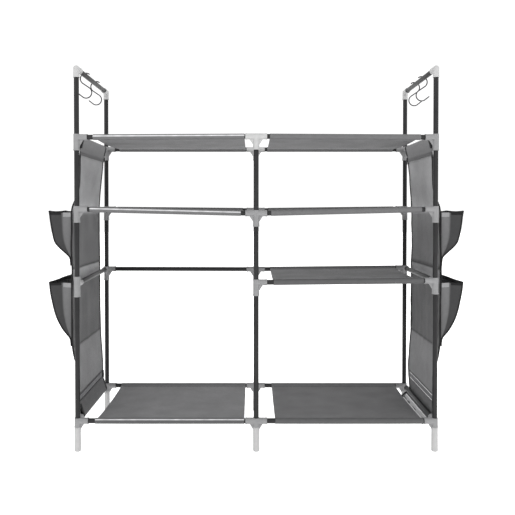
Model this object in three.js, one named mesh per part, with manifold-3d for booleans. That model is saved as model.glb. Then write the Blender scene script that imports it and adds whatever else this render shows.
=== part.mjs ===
// Free-standing two-bay shoe organizer: a steel tube frame in moulded connectors, seven fabric
// shelves sewn round their rails, two fabric side panels with outside pockets, and four S-hooks.
// Millimetres, +Z up. X runs along the length, Y from the front (-) to the back (+).
// The origin is on the floor, under the middle of the frame.

import * as THREE from 'three';
import { mergeVertices } from 'three/addons/utils/BufferGeometryUtils.js';
import Module from 'manifold-3d';

const wasm = await Module();
wasm.setup();

// ---- Driving dimensions ----

const POST_X = 430; // outer posts, left and right of the middle posts
const POST_Y = 138; // front and back posts, from the middle of the depth
const LEVEL = { bottom: 73, lower: 411, middle: 582.5, upper: 755, hanger: 919 }; // rail heights
// Connectors that were pushed on a little above or below their level, so that their rails slope.
const OFFSET = {
  lower: { front_left: -7, front_centre: -4, back_centre: -1, back_right: 3 },
  middle: { front_centre: -9.5, back_centre: -2.5, back_left: 1, back_right: 2 },
  upper: { front_centre: 2 },
};

const TUBE_R = 6; // outside radius of every steel tube
const TUBE_WALL = 0.6;
const GAP = 0.3; // clearance between pieces that touch
const SIDES = 12; // facets of the round pieces

const CONNECTOR_R = 7.5; // outside radius of a connector's sleeve and arms
const ARM_LENGTH = 26; // from the post's axis to the end of an arm
const SOCKET_START = 9; // from the post's axis to the bottom of an arm's socket
const SOCKET_MIDDLE = (SOCKET_START + ARM_LENGTH) / 2;
const SLEEVE_UP = 7.5; // sleeve above the rail's axis
const SLEEVE_DOWN = 32; // sleeve below the rail's axis
const TALL_SLEEVE_UP = 17; // the same above the axis, on the one taller connector
const ELBOW_DOWN = 21.5; // sleeve of the elbows that carry the hanger rails
const WEB_THICKNESS = 3.2; // gusset between an arm and the sleeve

const FOOT_R = 8;
const FOOT_LENGTH = 58; // what shows below the bottom connector
const FOOT_FLOOR = 6; // thickness of the foot's closed end
const FOOT_CHAMFER = 1.5;

const SLEEVE_FABRIC_R = 7; // shelf fabric sewn round its rail
const SHELF_FABRIC = 2; // thickness of the shelf's sheet

const PANEL_THICKNESS = 1.5;
const PANEL_X = 439; // side panel beside the posts
const PANEL_BULGE_X = 447; // side panel where the pockets hang on it
const PANEL_FRONT_Y = -128;
const PANEL_BACK_Y = 115;
const PANEL_SLEEVE_Y = 110; // the part wrapped round a rail ends short of the connectors
const PANEL_SLEEVE_R = 6.4; // inside radius of that wrap
const PANEL_SEAM_DROP = 28; // from the upper rail down to the seam of its wrap
const PANEL_SEAM_RISE = 35; // from the bottom rail up to the seam of its wrap

const POCKET_WALL = 1.5;
const POCKETS_PER_ROW = 2;
const UPPER_POCKET = { mouth: 575, seam: 445, cornerX: 489, cornerZ: 501, lipX: 503 };
const LOWER_POCKET = {
  mouth: 404, seam: 250, cornerX: 470, cornerZ: 290, lipX: 502, bellyX: 499, bellyZ: 330,
};

const HOOK_WIRE_R = 1.5;
const HOOK_LOOP_R = 14.3; // centre line of each loop
const HOOK_LOOP_OFFSET = 17.2; // from the hook's middle to a loop's centre
const HOOK_BEND_END = 128; // degrees round the loop where the wire runs straight on
const HOOK_TIP_LENGTH = 13; // the straight end after a loop
const HOOK_STEPS = 34;

// ---- Materials ----

const steel = new THREE.MeshStandardMaterial({ color: '#2f2f31', roughness: 0.38, metalness: 0.2 });
const plastic = new THREE.MeshStandardMaterial({ color: '#adadae', roughness: 0.5, metalness: 0 });
const shelfFabric = new THREE.MeshStandardMaterial({ color: '#77777a', roughness: 0.95, metalness: 0 });
const panelFabric = new THREE.MeshStandardMaterial({ color: '#7c7c7e', roughness: 0.95, metalness: 0 });
const hookWire = new THREE.MeshStandardMaterial({ color: '#3a3a3c', roughness: 0.35, metalness: 0.8 });

// ---- Solids ----

const UP = new THREE.Vector3(0, 0, 1);
const RIGHT = new THREE.Vector3(1, 0, 0);
const BACK = new THREE.Vector3(0, 1, 0);

// A closed geometry as a solid that can be joined and cut.
function toSolid(geometry) {
  const bare = new THREE.BufferGeometry();
  bare.setAttribute('position', geometry.getAttribute('position'));
  bare.setIndex(geometry.getIndex());
  const merged = mergeVertices(bare, 1e-4);
  const index = merged.getIndex().array;
  const faces = [];
  for (let i = 0; i < index.length; i += 3) {
    const [a, b, c] = index.slice(i, i + 3);
    if (a !== b && b !== c && c !== a) faces.push(a, b, c);
  }
  return new wasm.Manifold(new wasm.Mesh({
    numProp: 3,
    vertProperties: Float32Array.from(merged.getAttribute('position').array),
    triVerts: Uint32Array.from(faces),
  }));
}

function toGeometry(solid) {
  const mesh = solid.getMesh();
  const geometry = new THREE.BufferGeometry();
  geometry.setAttribute('position', new THREE.BufferAttribute(mesh.vertProperties, 3));
  geometry.setIndex(new THREE.BufferAttribute(mesh.triVerts, 1));
  geometry.computeVertexNormals();
  return geometry;
}

// All of `added` joined, with all of `removed` cut away.
function join(added, removed = []) {
  let solid = toSolid(added[0]);
  for (const geometry of added.slice(1)) solid = solid.add(toSolid(geometry));
  for (const geometry of removed) solid = solid.subtract(toSolid(geometry));
  return toGeometry(solid);
}

// A round bar from `start` to `end` along a direction through the origin.
function bar(direction, start, end, radius) {
  const geometry = new THREE.CylinderGeometry(radius, radius, end - start, SIDES);
  geometry.rotateX(Math.PI / 2);
  geometry.translate(0, 0, (start + end) / 2);
  return geometry.applyQuaternion(new THREE.Quaternion().setFromUnitVectors(UP, direction));
}

// An open-ended steel tube, as a closed ring profile turned round its axis.
function tube(direction, start, end) {
  const inner = TUBE_R - TUBE_WALL;
  const profile = [[inner, start], [TUBE_R, start], [TUBE_R, end], [inner, end], [inner, start]];
  const points = profile.map(([radius, along]) => new THREE.Vector2(radius, along));
  const geometry = new THREE.LatheGeometry(points, SIDES);
  geometry.rotateX(Math.PI / 2);
  return geometry.applyQuaternion(new THREE.Quaternion().setFromUnitVectors(UP, direction));
}

// An outline in the X-Z plane, given depth from yFrom to yTo.
function slab(shape, yFrom, yTo) {
  const options = { depth: yTo - yFrom, bevelEnabled: false, curveSegments: 8 };
  const geometry = new THREE.ExtrudeGeometry(shape, options);
  geometry.rotateX(Math.PI / 2);
  return geometry.translate(0, yTo, 0);
}

function outline(points) {
  return new THREE.Shape(points.map(([x, z]) => new THREE.Vector2(x, z)));
}

const organizer = new THREE.Group();

function addPiece(name, geometry, material, x = 0, y = 0, z = 0) {
  const mesh = new THREE.Mesh(geometry, material);
  mesh.name = name;
  mesh.position.set(x, y, z);
  organizer.add(mesh);
}

// ---- Connectors ----

// The flat web in the corner between an arm and the sleeve under it, `drop` deep.
function web(arm, drop) {
  const reach = ARM_LENGTH - 2;
  const shape = outline([[0, 0], [reach, 0], [reach, -6], [TUBE_R, -drop], [0, -drop]]);
  const geometry = new THREE.ExtrudeGeometry(shape, { depth: WEB_THICKNESS, bevelEnabled: false });
  geometry.translate(0, 0, -WEB_THICKNESS / 2);
  const across = new THREE.Vector3().crossVectors(arm, UP);
  return geometry.applyMatrix4(new THREE.Matrix4().makeBasis(arm, UP, across));
}

// A moulded connector: sleeve on the post, an arm for each rail, and a web under each arm.
// `capped` closes it over the end of the post; otherwise the post runs through.
function connector(arms, { up = SLEEVE_UP, down = SLEEVE_DOWN, capped = false, foot = null } = {}) {
  const bore = TUBE_R + GAP;
  const webDrop = foot ? ARM_LENGTH : Math.min(ARM_LENGTH, down - 2);
  const added = [bar(UP, -down, capped ? 0 : up, CONNECTOR_R)];
  const removed = [bar(UP, -down - 1, capped ? -SOCKET_START : up + 1, bore)];
  for (const arm of arms) {
    added.push(bar(arm, 0, ARM_LENGTH, CONNECTOR_R), web(arm, webDrop));
    removed.push(bar(arm, SOCKET_START, ARM_LENGTH + 1, bore));
  }
  if (capped) {
    const dome = new THREE.SphereGeometry(CONNECTOR_R, SIDES, SIDES / 2);
    added.push(dome.rotateX(Math.PI / 2));
  }
  if (foot) {
    added.push(foot);
    removed[0] = bar(UP, -LEVEL.bottom + FOOT_FLOOR, up + 1, bore);
  }
  return join(added, removed);
}

// The foot, in the bottom connector's own frame: a closed cup with a chamfered rim on the floor.
function footCup() {
  const floor = -LEVEL.bottom;
  const profile = [[0, floor], [FOOT_R - FOOT_CHAMFER, floor], [FOOT_R, floor + FOOT_CHAMFER],
    [FOOT_R, floor + FOOT_LENGTH], [0, floor + FOOT_LENGTH]];
  const geometry = new THREE.LatheGeometry(profile.map(([r, z]) => new THREE.Vector2(r, z)), SIDES);
  return geometry.rotateX(Math.PI / 2);
}

const COLUMNS = [];
for (const [depth, y] of [['front', -POST_Y], ['back', POST_Y]]) {
  for (const [place, x] of [['left', -POST_X], ['centre', 0], ['right', POST_X]]) {
    COLUMNS.push({ name: `${depth}_${place}`, x, y });
  }
}

// The arms a column needs at a level: along X to the bays that have a rail, along Y to a side rail.
function armsAt(level, { x, y }) {
  const arms = [];
  const hasLeftRail = x > 0 || (x === 0 && (level !== 'lower' || y > 0));
  const hasRightRail = x === 0 || (x < 0 && (level !== 'lower' || y > 0));
  if (level !== 'hanger' && hasLeftRail) arms.push(RIGHT.clone().negate());
  if (level !== 'hanger' && hasRightRail) arms.push(RIGHT);
  if (x !== 0 && level !== 'middle') arms.push(y < 0 ? BACK : BACK.clone().negate());
  return arms;
}

function connectorOptions(level, { name, x }) {
  const isCentre = x === 0;
  if (level === 'bottom') return { down: LEVEL.bottom - FOOT_LENGTH, foot: footCup() };
  if (level === 'hanger') return { down: ELBOW_DOWN, capped: true };
  if (level === 'upper' && isCentre) return { capped: true };
  if (level === 'lower' && name === 'front_left') return { up: TALL_SLEEVE_UP };
  return {};
}

// How far a column's connector sits above its level.
function offsetAt(level, { name }) {
  return OFFSET[level]?.[name] ?? 0;
}

for (const column of COLUMNS) {
  const levels = Object.keys(LEVEL).filter((level) => column.x !== 0 || level !== 'hanger');
  for (const level of levels) {
    const geometry = connector(armsAt(level, column), connectorOptions(level, column));
    const height = LEVEL[level] + offsetAt(level, column);
    addPiece(`connector_${level}_${column.name}`, geometry, plastic, column.x, column.y, height);
  }
}

// ---- Posts and rails ----

const RAIL_END = SOCKET_START + GAP; // from a post's axis to the end of a rail

function columnAt(depth, place) {
  return COLUMNS.find(({ name }) => name === `${depth}_${place}`);
}

// A rail's axis between two columns, through the middles of its sockets, relative to its level.
function railAxis(level, from, to) {
  const start = new THREE.Vector3(from.x, from.y, offsetAt(level, from));
  const end = new THREE.Vector3(to.x, to.y, offsetAt(level, to));
  const along = new THREE.Vector3(to.x - from.x, to.y - from.y, 0).normalize();
  start.addScaledVector(along, SOCKET_MIDDLE);
  end.addScaledVector(along, -SOCKET_MIDDLE);
  const length = end.distanceTo(start);
  return { start, direction: end.sub(start).normalize(), length };
}

for (const { name, x, y } of COLUMNS) {
  const level = x === 0 ? 'upper' : 'hanger';
  const top = LEVEL[level] + offsetAt(level, { name }) - RAIL_END;
  addPiece(`post_${name}`, tube(UP, FOOT_FLOOR + GAP, top), steel, x, y, 0);
}

// A bare rail between two columns.
function addRail(name, level, from, to) {
  const { start, direction, length } = railAxis(level, from, to);
  const reach = SOCKET_MIDDLE - RAIL_END; // beyond the middle of each socket
  addPiece(name, tube(direction, -reach, length + reach), steel, start.x, start.y, LEVEL[level] + start.z);
}

for (const level of ['bottom', 'lower', 'upper', 'hanger']) {
  for (const place of ['left', 'right']) {
    addRail(`side_rail_${level}_${place}`, level, columnAt('front', place), columnAt('back', place));
  }
}

addRail('back_rail_lower_left', 'lower', columnAt('back', 'left'), columnAt('back', 'centre'));

// ---- Shelves ----

// The sheet between a front and a back rail: a flat board whose corners follow the rails' heights.
function shelfSheet(rails, fabricFrom, fabricTo) {
  const sheet = new THREE.BoxGeometry(fabricTo - fabricFrom, 2 * POST_Y, SHELF_FABRIC);
  sheet.translate((fabricFrom + fabricTo) / 2, 0, 0);
  const position = sheet.getAttribute('position');
  for (let i = 0; i < position.count; i += 1) {
    const { start, direction } = rails[position.getY(i) < 0 ? 0 : 1];
    const rise = start.z + (position.getX(i) - start.x) * direction.z;
    position.setZ(i, position.getZ(i) + rise);
  }
  return sheet;
}

// A shelf: front and back rail with the fabric sewn round both and stretched between them.
function shelf(level, places, fabricFrom, fabricTo) {
  const rails = ['front', 'back'].map((depth) => (
    railAxis(level, columnAt(depth, places[0]), columnAt(depth, places[1]))));
  const reach = SOCKET_MIDDLE - RAIL_END;
  const added = [shelfSheet(rails, fabricFrom, fabricTo)];
  const removed = [];
  for (const { start, direction, length } of rails) {
    const solid = bar(direction, -reach, length + reach, TUBE_R);
    const sleeve = bar(direction, fabricFrom - start.x, fabricTo - start.x, SLEEVE_FABRIC_R);
    const bore = bar(direction, -reach - 1, length + reach + 1, TUBE_R - TUBE_WALL);
    for (const geometry of [solid, sleeve, bore]) geometry.translate(start.x, start.y, start.z);
    added.push(solid, sleeve);
    removed.push(bore);
  }
  return join(added, removed);
}

// Where the fabric of each shelf starts and ends along X.
const SHELVES = [
  ['upper', 'left', -390, -28],
  ['upper', 'right', 33, 393],
  ['middle', 'left', -398, -37],
  ['middle', 'right', 36, 396],
  ['lower', 'right', 42, 401],
  ['bottom', 'left', -387, -29],
  ['bottom', 'right', 46, 402],
];

for (const [level, place, fabricFrom, fabricTo] of SHELVES) {
  const places = place === 'left' ? ['left', 'centre'] : ['centre', 'right'];
  const geometry = shelf(level, places, fabricFrom, fabricTo);
  addPiece(`shelf_${level}_${place}`, geometry, shelfFabric, 0, 0, LEVEL[level]);
}

// ---- Side panels ----

// The hanging sheet of a side panel, bulged outwards where the pockets pull on it.
function panelSheet(side) {
  const half = PANEL_THICKNESS / 2;
  const line = [
    [PANEL_X, LEVEL.bottom + 5], [PANEL_X, LEVEL.bottom + PANEL_SEAM_RISE],
    [PANEL_BULGE_X, LOWER_POCKET.seam], [PANEL_BULGE_X, UPPER_POCKET.mouth],
    [PANEL_X, LEVEL.upper - PANEL_SEAM_DROP], [PANEL_X, LEVEL.upper - 5],
  ];
  const outside = line.map(([x, z]) => [side * (x + half), z]);
  const inside = line.map(([x, z]) => [side * (x - half), z]);
  return slab(outline([...outside, ...inside.reverse()]), PANEL_FRONT_Y, PANEL_BACK_Y);
}

// The fabric wrapped round a rail: a ring whose tail runs along Z to its seam.
function railWrap(side, railZ, tail) {
  const outerR = PANEL_SLEEVE_R + PANEL_THICKNESS;
  const corner = 1 / Math.cos(Math.PI / SIDES); // keeps the facets' flats at the stated radius
  const outerFace = PANEL_X + PANEL_THICKNESS / 2;
  const innerFace = PANEL_X - PANEL_THICKNESS / 2;
  const end = PANEL_SLEEVE_Y;
  const ring = bar(BACK, -end, end, outerR * corner);
  const hole = bar(BACK, -end - 1, end + 1, PANEL_SLEEVE_R * corner);
  for (const geometry of [ring, hole]) geometry.translate(side * POST_X, 0, railZ);
  const outerTail = outline([
    [side * (POST_X - outerR), railZ], [side * outerFace, railZ],
    [side * outerFace, railZ + tail], [side * (innerFace - PANEL_THICKNESS / 2), railZ + tail],
  ]);
  const innerTail = outline([
    [side * (POST_X - PANEL_SLEEVE_R), railZ], [side * innerFace, railZ],
    [side * innerFace, railZ + tail * 0.8],
  ]);
  return {
    added: [ring, slab(outerTail, -end, end)],
    removed: [hole, slab(innerTail, -end - 1, end + 1)],
  };
}

// The unfastened end of the right panel: it turns under the bottom rail and hangs inside it.
function looseFlap(side) {
  const under = LEVEL.bottom - PANEL_SLEEVE_R;
  const line = [
    [PANEL_X, LEVEL.bottom + 5], [PANEL_X, under + 3], [PANEL_X - 4, under - PANEL_THICKNESS],
    [POST_X - 4, under - PANEL_THICKNESS], [POST_X - 22, under - 24],
  ];
  const outside = line.map(([x, z]) => [side * (x + PANEL_THICKNESS / 2), z - PANEL_THICKNESS / 2]);
  const inside = line.map(([x, z]) => [side * (x - PANEL_THICKNESS / 2), z + PANEL_THICKNESS / 2]);
  return slab(outline([...outside, ...inside.reverse()]), -PANEL_SLEEVE_Y, PANEL_SLEEVE_Y);
}

for (const [place, side] of [['left', -1], ['right', 1]]) {
  const top = railWrap(side, LEVEL.upper, -PANEL_SEAM_DROP);
  const bottom = place === 'left'
    ? railWrap(side, LEVEL.bottom, PANEL_SEAM_RISE)
    : { added: [looseFlap(side)], removed: [] };
  const added = [panelSheet(side), ...top.added, ...bottom.added];
  const removed = [...top.removed, ...bottom.removed];
  addPiece(`side_panel_${place}`, join(added, removed), panelFabric);
}

// ---- Pockets ----

const POCKET_BACK_X = PANEL_BULGE_X + PANEL_THICKNESS / 2 + GAP;

// A pocket's side view, drawn `inset` inside its outer faces.
function pocketOutline(side, pocket, inset) {
  const open = inset > 0 ? 1 : 0; // a cavity runs out through the mouth and the back
  const shape = new THREE.Shape();
  shape.moveTo(side * (POCKET_BACK_X - open), pocket.mouth + open);
  shape.lineTo(side * (pocket.lipX - inset), pocket.mouth + open);
  if (pocket.bellyX) {
    shape.quadraticCurveTo(side * (pocket.bellyX - inset), pocket.bellyZ,
      side * (pocket.cornerX - inset), pocket.cornerZ + inset);
  } else {
    shape.lineTo(side * (pocket.cornerX - inset), pocket.cornerZ + inset);
  }
  shape.lineTo(side * (POCKET_BACK_X - open), pocket.seam + 1.5 * inset);
  return shape;
}

function pocketRow(side, pocket) {
  const added = [slab(pocketOutline(side, pocket, 0), PANEL_FRONT_Y, PANEL_BACK_Y)];
  const pitch = (PANEL_BACK_Y - PANEL_FRONT_Y) / POCKETS_PER_ROW;
  const removed = [];
  for (let i = 0; i < POCKETS_PER_ROW; i += 1) {
    const from = PANEL_FRONT_Y + i * pitch + POCKET_WALL;
    removed.push(slab(pocketOutline(side, pocket, POCKET_WALL), from, from + pitch - 2 * POCKET_WALL));
  }
  return join(added, removed);
}

for (const [place, side] of [['left', -1], ['right', 1]]) {
  addPiece(`pocket_row_upper_${place}`, pocketRow(side, UPPER_POCKET), panelFabric);
  addPiece(`pocket_row_lower_${place}`, pocketRow(side, LOWER_POCKET), panelFabric);
}

// ---- S-hooks ----

// The wire's centre line in the X-Z plane: two loops joined by their shared tangent.
function hookPath(side) {
  const tangentAngle = THREE.MathUtils.radToDeg(Math.acos(HOOK_LOOP_R / HOOK_LOOP_OFFSET)) - 90;
  const stepsPerLoop = 11;
  const bendEnd = THREE.MathUtils.degToRad(HOOK_BEND_END);
  const upper = [];
  for (const along of [HOOK_TIP_LENGTH, HOOK_TIP_LENGTH / 2]) {
    const out = HOOK_LOOP_R * Math.cos(bendEnd) - along * Math.sin(bendEnd);
    const rise = HOOK_LOOP_OFFSET + HOOK_LOOP_R * Math.sin(bendEnd) + along * Math.cos(bendEnd);
    upper.push(new THREE.Vector3(side * out, 0, rise));
  }
  for (let i = 0; i <= stepsPerLoop; i += 1) {
    const degrees = HOOK_BEND_END + (tangentAngle - HOOK_BEND_END) * (i / stepsPerLoop);
    const angle = THREE.MathUtils.degToRad(degrees);
    const out = HOOK_LOOP_R * Math.cos(angle);
    const rise = HOOK_LOOP_OFFSET + HOOK_LOOP_R * Math.sin(angle);
    upper.push(new THREE.Vector3(side * out, 0, rise));
  }
  const lower = upper.map((point) => point.clone().negate()).reverse();
  return new THREE.CatmullRomCurve3([...upper, ...lower]);
}

function hook(side) {
  const section = new THREE.Shape().absarc(0, 0, HOOK_WIRE_R, 0, 2 * Math.PI);
  return new THREE.ExtrudeGeometry(section, {
    extrudePath: hookPath(side), steps: HOOK_STEPS, curveSegments: 3, bevelEnabled: false,
  });
}

// The upper loop's inside rests on top of the hanger rail.
const HOOK_Z = LEVEL.hanger + TUBE_R + GAP + HOOK_WIRE_R - HOOK_LOOP_R - HOOK_LOOP_OFFSET;
const HOOKS = [
  ['left_front', -1, -59], ['left_back', -1, 34],
  ['right_front', 1, -22], ['right_back', 1, 46],
];

for (const [name, side, y] of HOOKS) {
  addPiece(`hook_${name}`, hook(side), hookWire, side * POST_X, y, HOOK_Z);
}

export default organizer;
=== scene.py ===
"""Shoe organizer: a free-standing two-bay rack of steel tubes in moulded connectors, with fabric
shelves, two fabric side panels with outside pockets, and S-hooks on the raised side rails."""

import math

import bmesh
import bpy
from bpy.props import FloatProperty, FloatVectorProperty, PointerProperty
from mathutils import Matrix, Vector, noise


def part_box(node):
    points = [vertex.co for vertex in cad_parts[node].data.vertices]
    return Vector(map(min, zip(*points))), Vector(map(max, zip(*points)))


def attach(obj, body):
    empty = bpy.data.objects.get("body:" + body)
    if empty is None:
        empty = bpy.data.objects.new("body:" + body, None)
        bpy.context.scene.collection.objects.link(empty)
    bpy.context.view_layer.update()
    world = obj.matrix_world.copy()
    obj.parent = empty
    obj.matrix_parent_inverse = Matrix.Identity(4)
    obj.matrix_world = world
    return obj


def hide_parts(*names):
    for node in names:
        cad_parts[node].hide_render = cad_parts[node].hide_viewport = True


bl_info = {
    "name": "Shoe Organizer",
    "version": (1, 0, 0),
    "blender": (4, 5, 0),
    "location": "View3D > Sidebar > Organizer",
    "description": "Builds a two-bay shoe organizer round its packed frame",
    "category": "Object",
}

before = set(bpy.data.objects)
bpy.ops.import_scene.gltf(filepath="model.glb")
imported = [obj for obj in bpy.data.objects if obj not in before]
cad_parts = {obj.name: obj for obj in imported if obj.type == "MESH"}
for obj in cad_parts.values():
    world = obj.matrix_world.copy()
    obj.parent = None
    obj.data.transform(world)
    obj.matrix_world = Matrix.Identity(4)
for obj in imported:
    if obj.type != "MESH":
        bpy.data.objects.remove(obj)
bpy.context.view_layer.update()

MM = 0.001
BODY = "frame"
UP = Vector((0, 0, 1))
AXES = {"+x": Vector((1, 0, 0)), "-x": Vector((-1, 0, 0)), "+y": Vector((0, 1, 0)), "-y": Vector((0, -1, 0))}


def middle_of(points):
    """The middle of the box round some points."""
    low = Vector([min(p[axis] for p in points) for axis in range(3)])
    high = Vector([max(p[axis] for p in points) for axis in range(3)])
    return (low + high) / 2


def middle(node):
    """The middle of a CAD node's box."""
    return middle_of(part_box(node))


DEPTHS = ("front", "back")
PLACES = ("left", "centre", "right")
SIDES = {"left": -1, "right": 1}
COLUMNS = {(d, p): middle(f"post_{d}_{p}") for d in DEPTHS for p in PLACES}
POST_Y = COLUMNS["back", "right"].y
LEVELS = ("bottom", "lower", "middle", "upper", "hanger")
SIDE_LEVELS = ("bottom", "lower", "upper", "hanger")
SHELVES = (
    ("upper", "left"), ("upper", "right"), ("middle", "left"), ("middle", "right"),
    ("lower", "right"), ("bottom", "left"), ("bottom", "right"),
)
HOOKS = ("left_front", "left_back", "right_front", "right_back")


def rail_ends(node, along, y=None):
    """The two ends of a rail's axis in a CAD node; y picks one of a shelf's two rails."""
    points = [v.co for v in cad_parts[node].data.vertices if y is None or abs(v.co.y - y) < 6.2 * MM]
    ends = []
    for limit in (min(p[along] for p in points), max(p[along] for p in points)):
        ends.append(middle_of([p for p in points if abs(p[along] - limit) < 0.5 * MM]))
    return ends


# Each rail's node and the ends of its axis, by the way it runs, its level and its side.
RAILS = {("side", level, place): (f"side_rail_{level}_{place}", rail_ends(f"side_rail_{level}_{place}", 1))
         for level in SIDE_LEVELS for place in SIDES}
RAILS["back", "lower", "left"] = ("back_rail_lower_left", rail_ends("back_rail_lower_left", 0))
for shelf_level, shelf_place in SHELVES:
    for rail_depth, rail_y in (("front", -POST_Y), ("back", POST_Y)):
        shelf_node = f"shelf_{shelf_level}_{shelf_place}"
        RAILS[rail_depth, shelf_level, shelf_place] = (shelf_node, rail_ends(shelf_node, 0, rail_y))


def point_on(ends, along, value):
    """The point of a rail's axis where its x or y has a value."""
    start, end = ends
    return start.lerp(end, (value - start[along]) / (end[along] - start[along]))


SOCKET_MIDDLE = 17.5 * MM  # from a post's axis to the middle of a side socket


def connector_height(level, depth, place):
    """The height at which a column's connector holds its rails: at the middle of a socket."""
    axis = COLUMNS[depth, place]
    for (way, rail_level, _), (_, ends) in RAILS.items():
        along = 1 if way == "side" else 0
        across = 1 - along
        near = min(ends, key=lambda point: abs(point[along] - axis[along]))
        if rail_level == level and (near - axis).xy.length < 12 * MM and abs(near[across] - axis[across]) < MM:
            inwards = 1 if ends[1][along] + ends[0][along] > 2 * axis[along] else -1
            return point_on(ends, along, axis[along] + inwards * SOCKET_MIDDLE).z
    raise ValueError(f"no rail meets the {level} connector of the {depth} {place} post")


def linear(hex_colour):
    """An sRGB hex colour as linear red, green and blue."""
    channels = [int(hex_colour[i:i + 2], 16) / 255 for i in (1, 3, 5)]
    return tuple(c / 12.92 if c <= 0.04045 else ((c + 0.055) / 1.055) ** 2.4 for c in channels)


# ---- Settings ----

def length(name, description, default_mm):
    return FloatProperty(name=name, description=description, default=default_mm * MM, unit="LENGTH", precision=4)


def colour(name, description, hex_colour):
    return FloatVectorProperty(
        name=name, description=description, default=linear(hex_colour), subtype="COLOR", min=0, max=1
    )


class OrganizerFrameSettings(bpy.types.PropertyGroup):
    """Sizes of the tubes, connectors, feet and hooks."""

    tube_radius: length("Tube radius", "Outside radius of every steel tube", 6)
    tube_wall: length("Tube wall", "Thickness of the tube's wall", 0.6)
    connector_radius: length("Connector radius", "Outside radius of a connector's sleeve and arms", 7.5)
    socket_radius: length("Socket radius", "Inside radius of a connector's sockets", 6.2)
    arm_length: length("Arm length", "From a post's axis to the end of an arm", 26)
    socket_start: length("Socket start", "From a post's axis to the bottom of an arm's socket", 9)
    web_drop: length("Web drop", "From a post's rail axes to the bottom of its webs", 21.5)
    web_thickness: length("Web thickness", "Thickness of the web under an arm", 3.6)
    foot_length: length("Foot length", "How far a foot stands out below its connector", 58)
    wire_radius: length("Wire radius", "Radius of the hooks' wire", 1.5)
    hook_loop_radius: length("Hook loop radius", "Centre line radius of a hook's loops", 14.3)
    hook_loop_offset: length("Hook loop offset", "From a hook's middle to a loop's centre", 17.2)
    hook_tip_length: length("Hook tip length", "Straight end of a hook's wire after each loop", 13)


class OrganizerFabricSettings(bpy.types.PropertyGroup):
    """Sizes of the sewn pieces."""

    thickness: length("Fabric thickness", "Thickness of the non-woven fabric", 0.6)
    sleeve_radius: length("Sleeve radius", "Radius of the fabric round a rail", 6.9)
    shelf_seam: length("Shelf seam", "From a rail's axis to the seam of the shelf's sleeve", 13)
    binding_width: length("Binding width", "Width of the tape on each face of an edge", 10)
    stitch_pitch: length("Stitch pitch", "Distance from one stitch to the next", 4)


class OrganizerColourSettings(bpy.types.PropertyGroup):
    """Colours of the finishes."""

    steel: colour("Steel", "Powder coat on the tubes", "#1f1f20")
    connector: colour("Connector", "Moulded connectors", "#7d7d7e")
    # A paler copy of the connector grey for the capped connectors, which stand highest: painted light.
    connector_pale: colour("Pale connector", "Moulded connectors of the hanger rails", "#a8a8a8")
    foot: colour("Foot", "Moulded feet", "#a4a4a4")
    fabric: colour("Fabric", "Non-woven fabric", "#717172")
    binding: colour("Binding", "Tape on the edges", "#1a1a1b")
    fastener: colour("Fastener", "Hook-and-loop strip", "#666668")
    flap_fastener: colour("Flap fastener", "Hook-and-loop strip on the open flap", "#a2a2a3")
    hem: colour("Hem", "Tape on the mouth of a gusset", "#868687")
    pale_thread: colour("Pale thread", "Stitching on the right fastener strips", "#e6e6e6")
    wire: colour("Wire", "Plated wire of the hooks", "#3a3a3c")


# ---- Making and placing objects ----

def deselect_all():
    if bpy.context.mode != "OBJECT":
        bpy.ops.object.mode_set(mode="OBJECT")
    bpy.ops.object.select_all(action="DESELECT")


def make_active(obj):
    deselect_all()
    obj.select_set(True)
    bpy.context.view_layer.objects.active = obj


def apply_modifier(obj, kind, **settings):
    make_active(obj)
    modifier = obj.modifiers.new(kind.title(), kind)
    for name, value in settings.items():
        setattr(modifier, name, value)
    bpy.ops.object.modifier_apply(modifier=modifier.name)


def combine(obj, other, operation):
    apply_modifier(obj, "BOOLEAN", object=other, operation=operation, solver="EXACT")
    bpy.data.objects.remove(other)


def smooth(obj, degrees=35):
    make_active(obj)
    bpy.ops.object.shade_smooth_by_angle(angle=math.radians(degrees))


def face_outwards(obj):
    make_active(obj)
    bpy.ops.object.mode_set(mode="EDIT")
    bpy.ops.mesh.select_all(action="SELECT")
    bpy.ops.mesh.remove_doubles(threshold=0.00001)
    bpy.ops.mesh.normals_make_consistent(inside=False)
    bpy.ops.object.mode_set(mode="OBJECT")


def apply_place(obj):
    make_active(obj)
    bpy.ops.object.transform_apply(location=True, rotation=True, scale=True)


def copied(template, name, matrix):
    """A copy of a template with a mesh of its own, placed in the mesh."""
    obj = template.copy()
    obj.data = template.data.copy()
    obj.data.transform(matrix)
    obj.name = name
    obj.data.name = name
    bpy.context.collection.objects.link(obj)
    return obj


def finish_piece(obj, name, material, body=BODY, replaces=()):
    """Names a piece, gives it its material and slot, and makes it ride on its body."""
    obj.name = name
    obj.data.name = name
    if material:
        obj.data.materials.clear()
        obj.data.materials.append(material)
    if replaces:
        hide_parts(*replaces)
    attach(obj, body)
    return obj


def cylinder(radius, start, end, direction, vertices=32):
    """A closed cylinder from start to end along a direction through the origin."""
    deselect_all()
    bpy.ops.mesh.primitive_cylinder_add(
        vertices=vertices, radius=radius, depth=end - start,
        location=direction * (start + end) / 2, rotation=direction.to_track_quat("Z", "Y").to_euler(),
    )
    obj = bpy.context.object
    apply_place(obj)
    return obj


# ---- Materials ----

def add_node(tree, kind, inputs=None, **settings):
    """Adds a shader node with its settings; an input is a value or another node's output."""
    node = tree.nodes.new("ShaderNode" + kind)
    for name, value in settings.items():
        setattr(node, name, value)
    for key, value in (inputs or {}).items():
        if isinstance(value, bpy.types.NodeSocket):
            tree.links.new(value, node.inputs[key])
        else:
            node.inputs[key].default_value = value
    return node


def new_material(name):
    """An empty node material: its tree and its Principled shader."""
    material = bpy.data.materials.new(name)
    material.use_nodes = True
    tree = material.node_tree
    shader = next(n for n in tree.nodes if n.type == "BSDF_PRINCIPLED")
    return material, tree, shader


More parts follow.
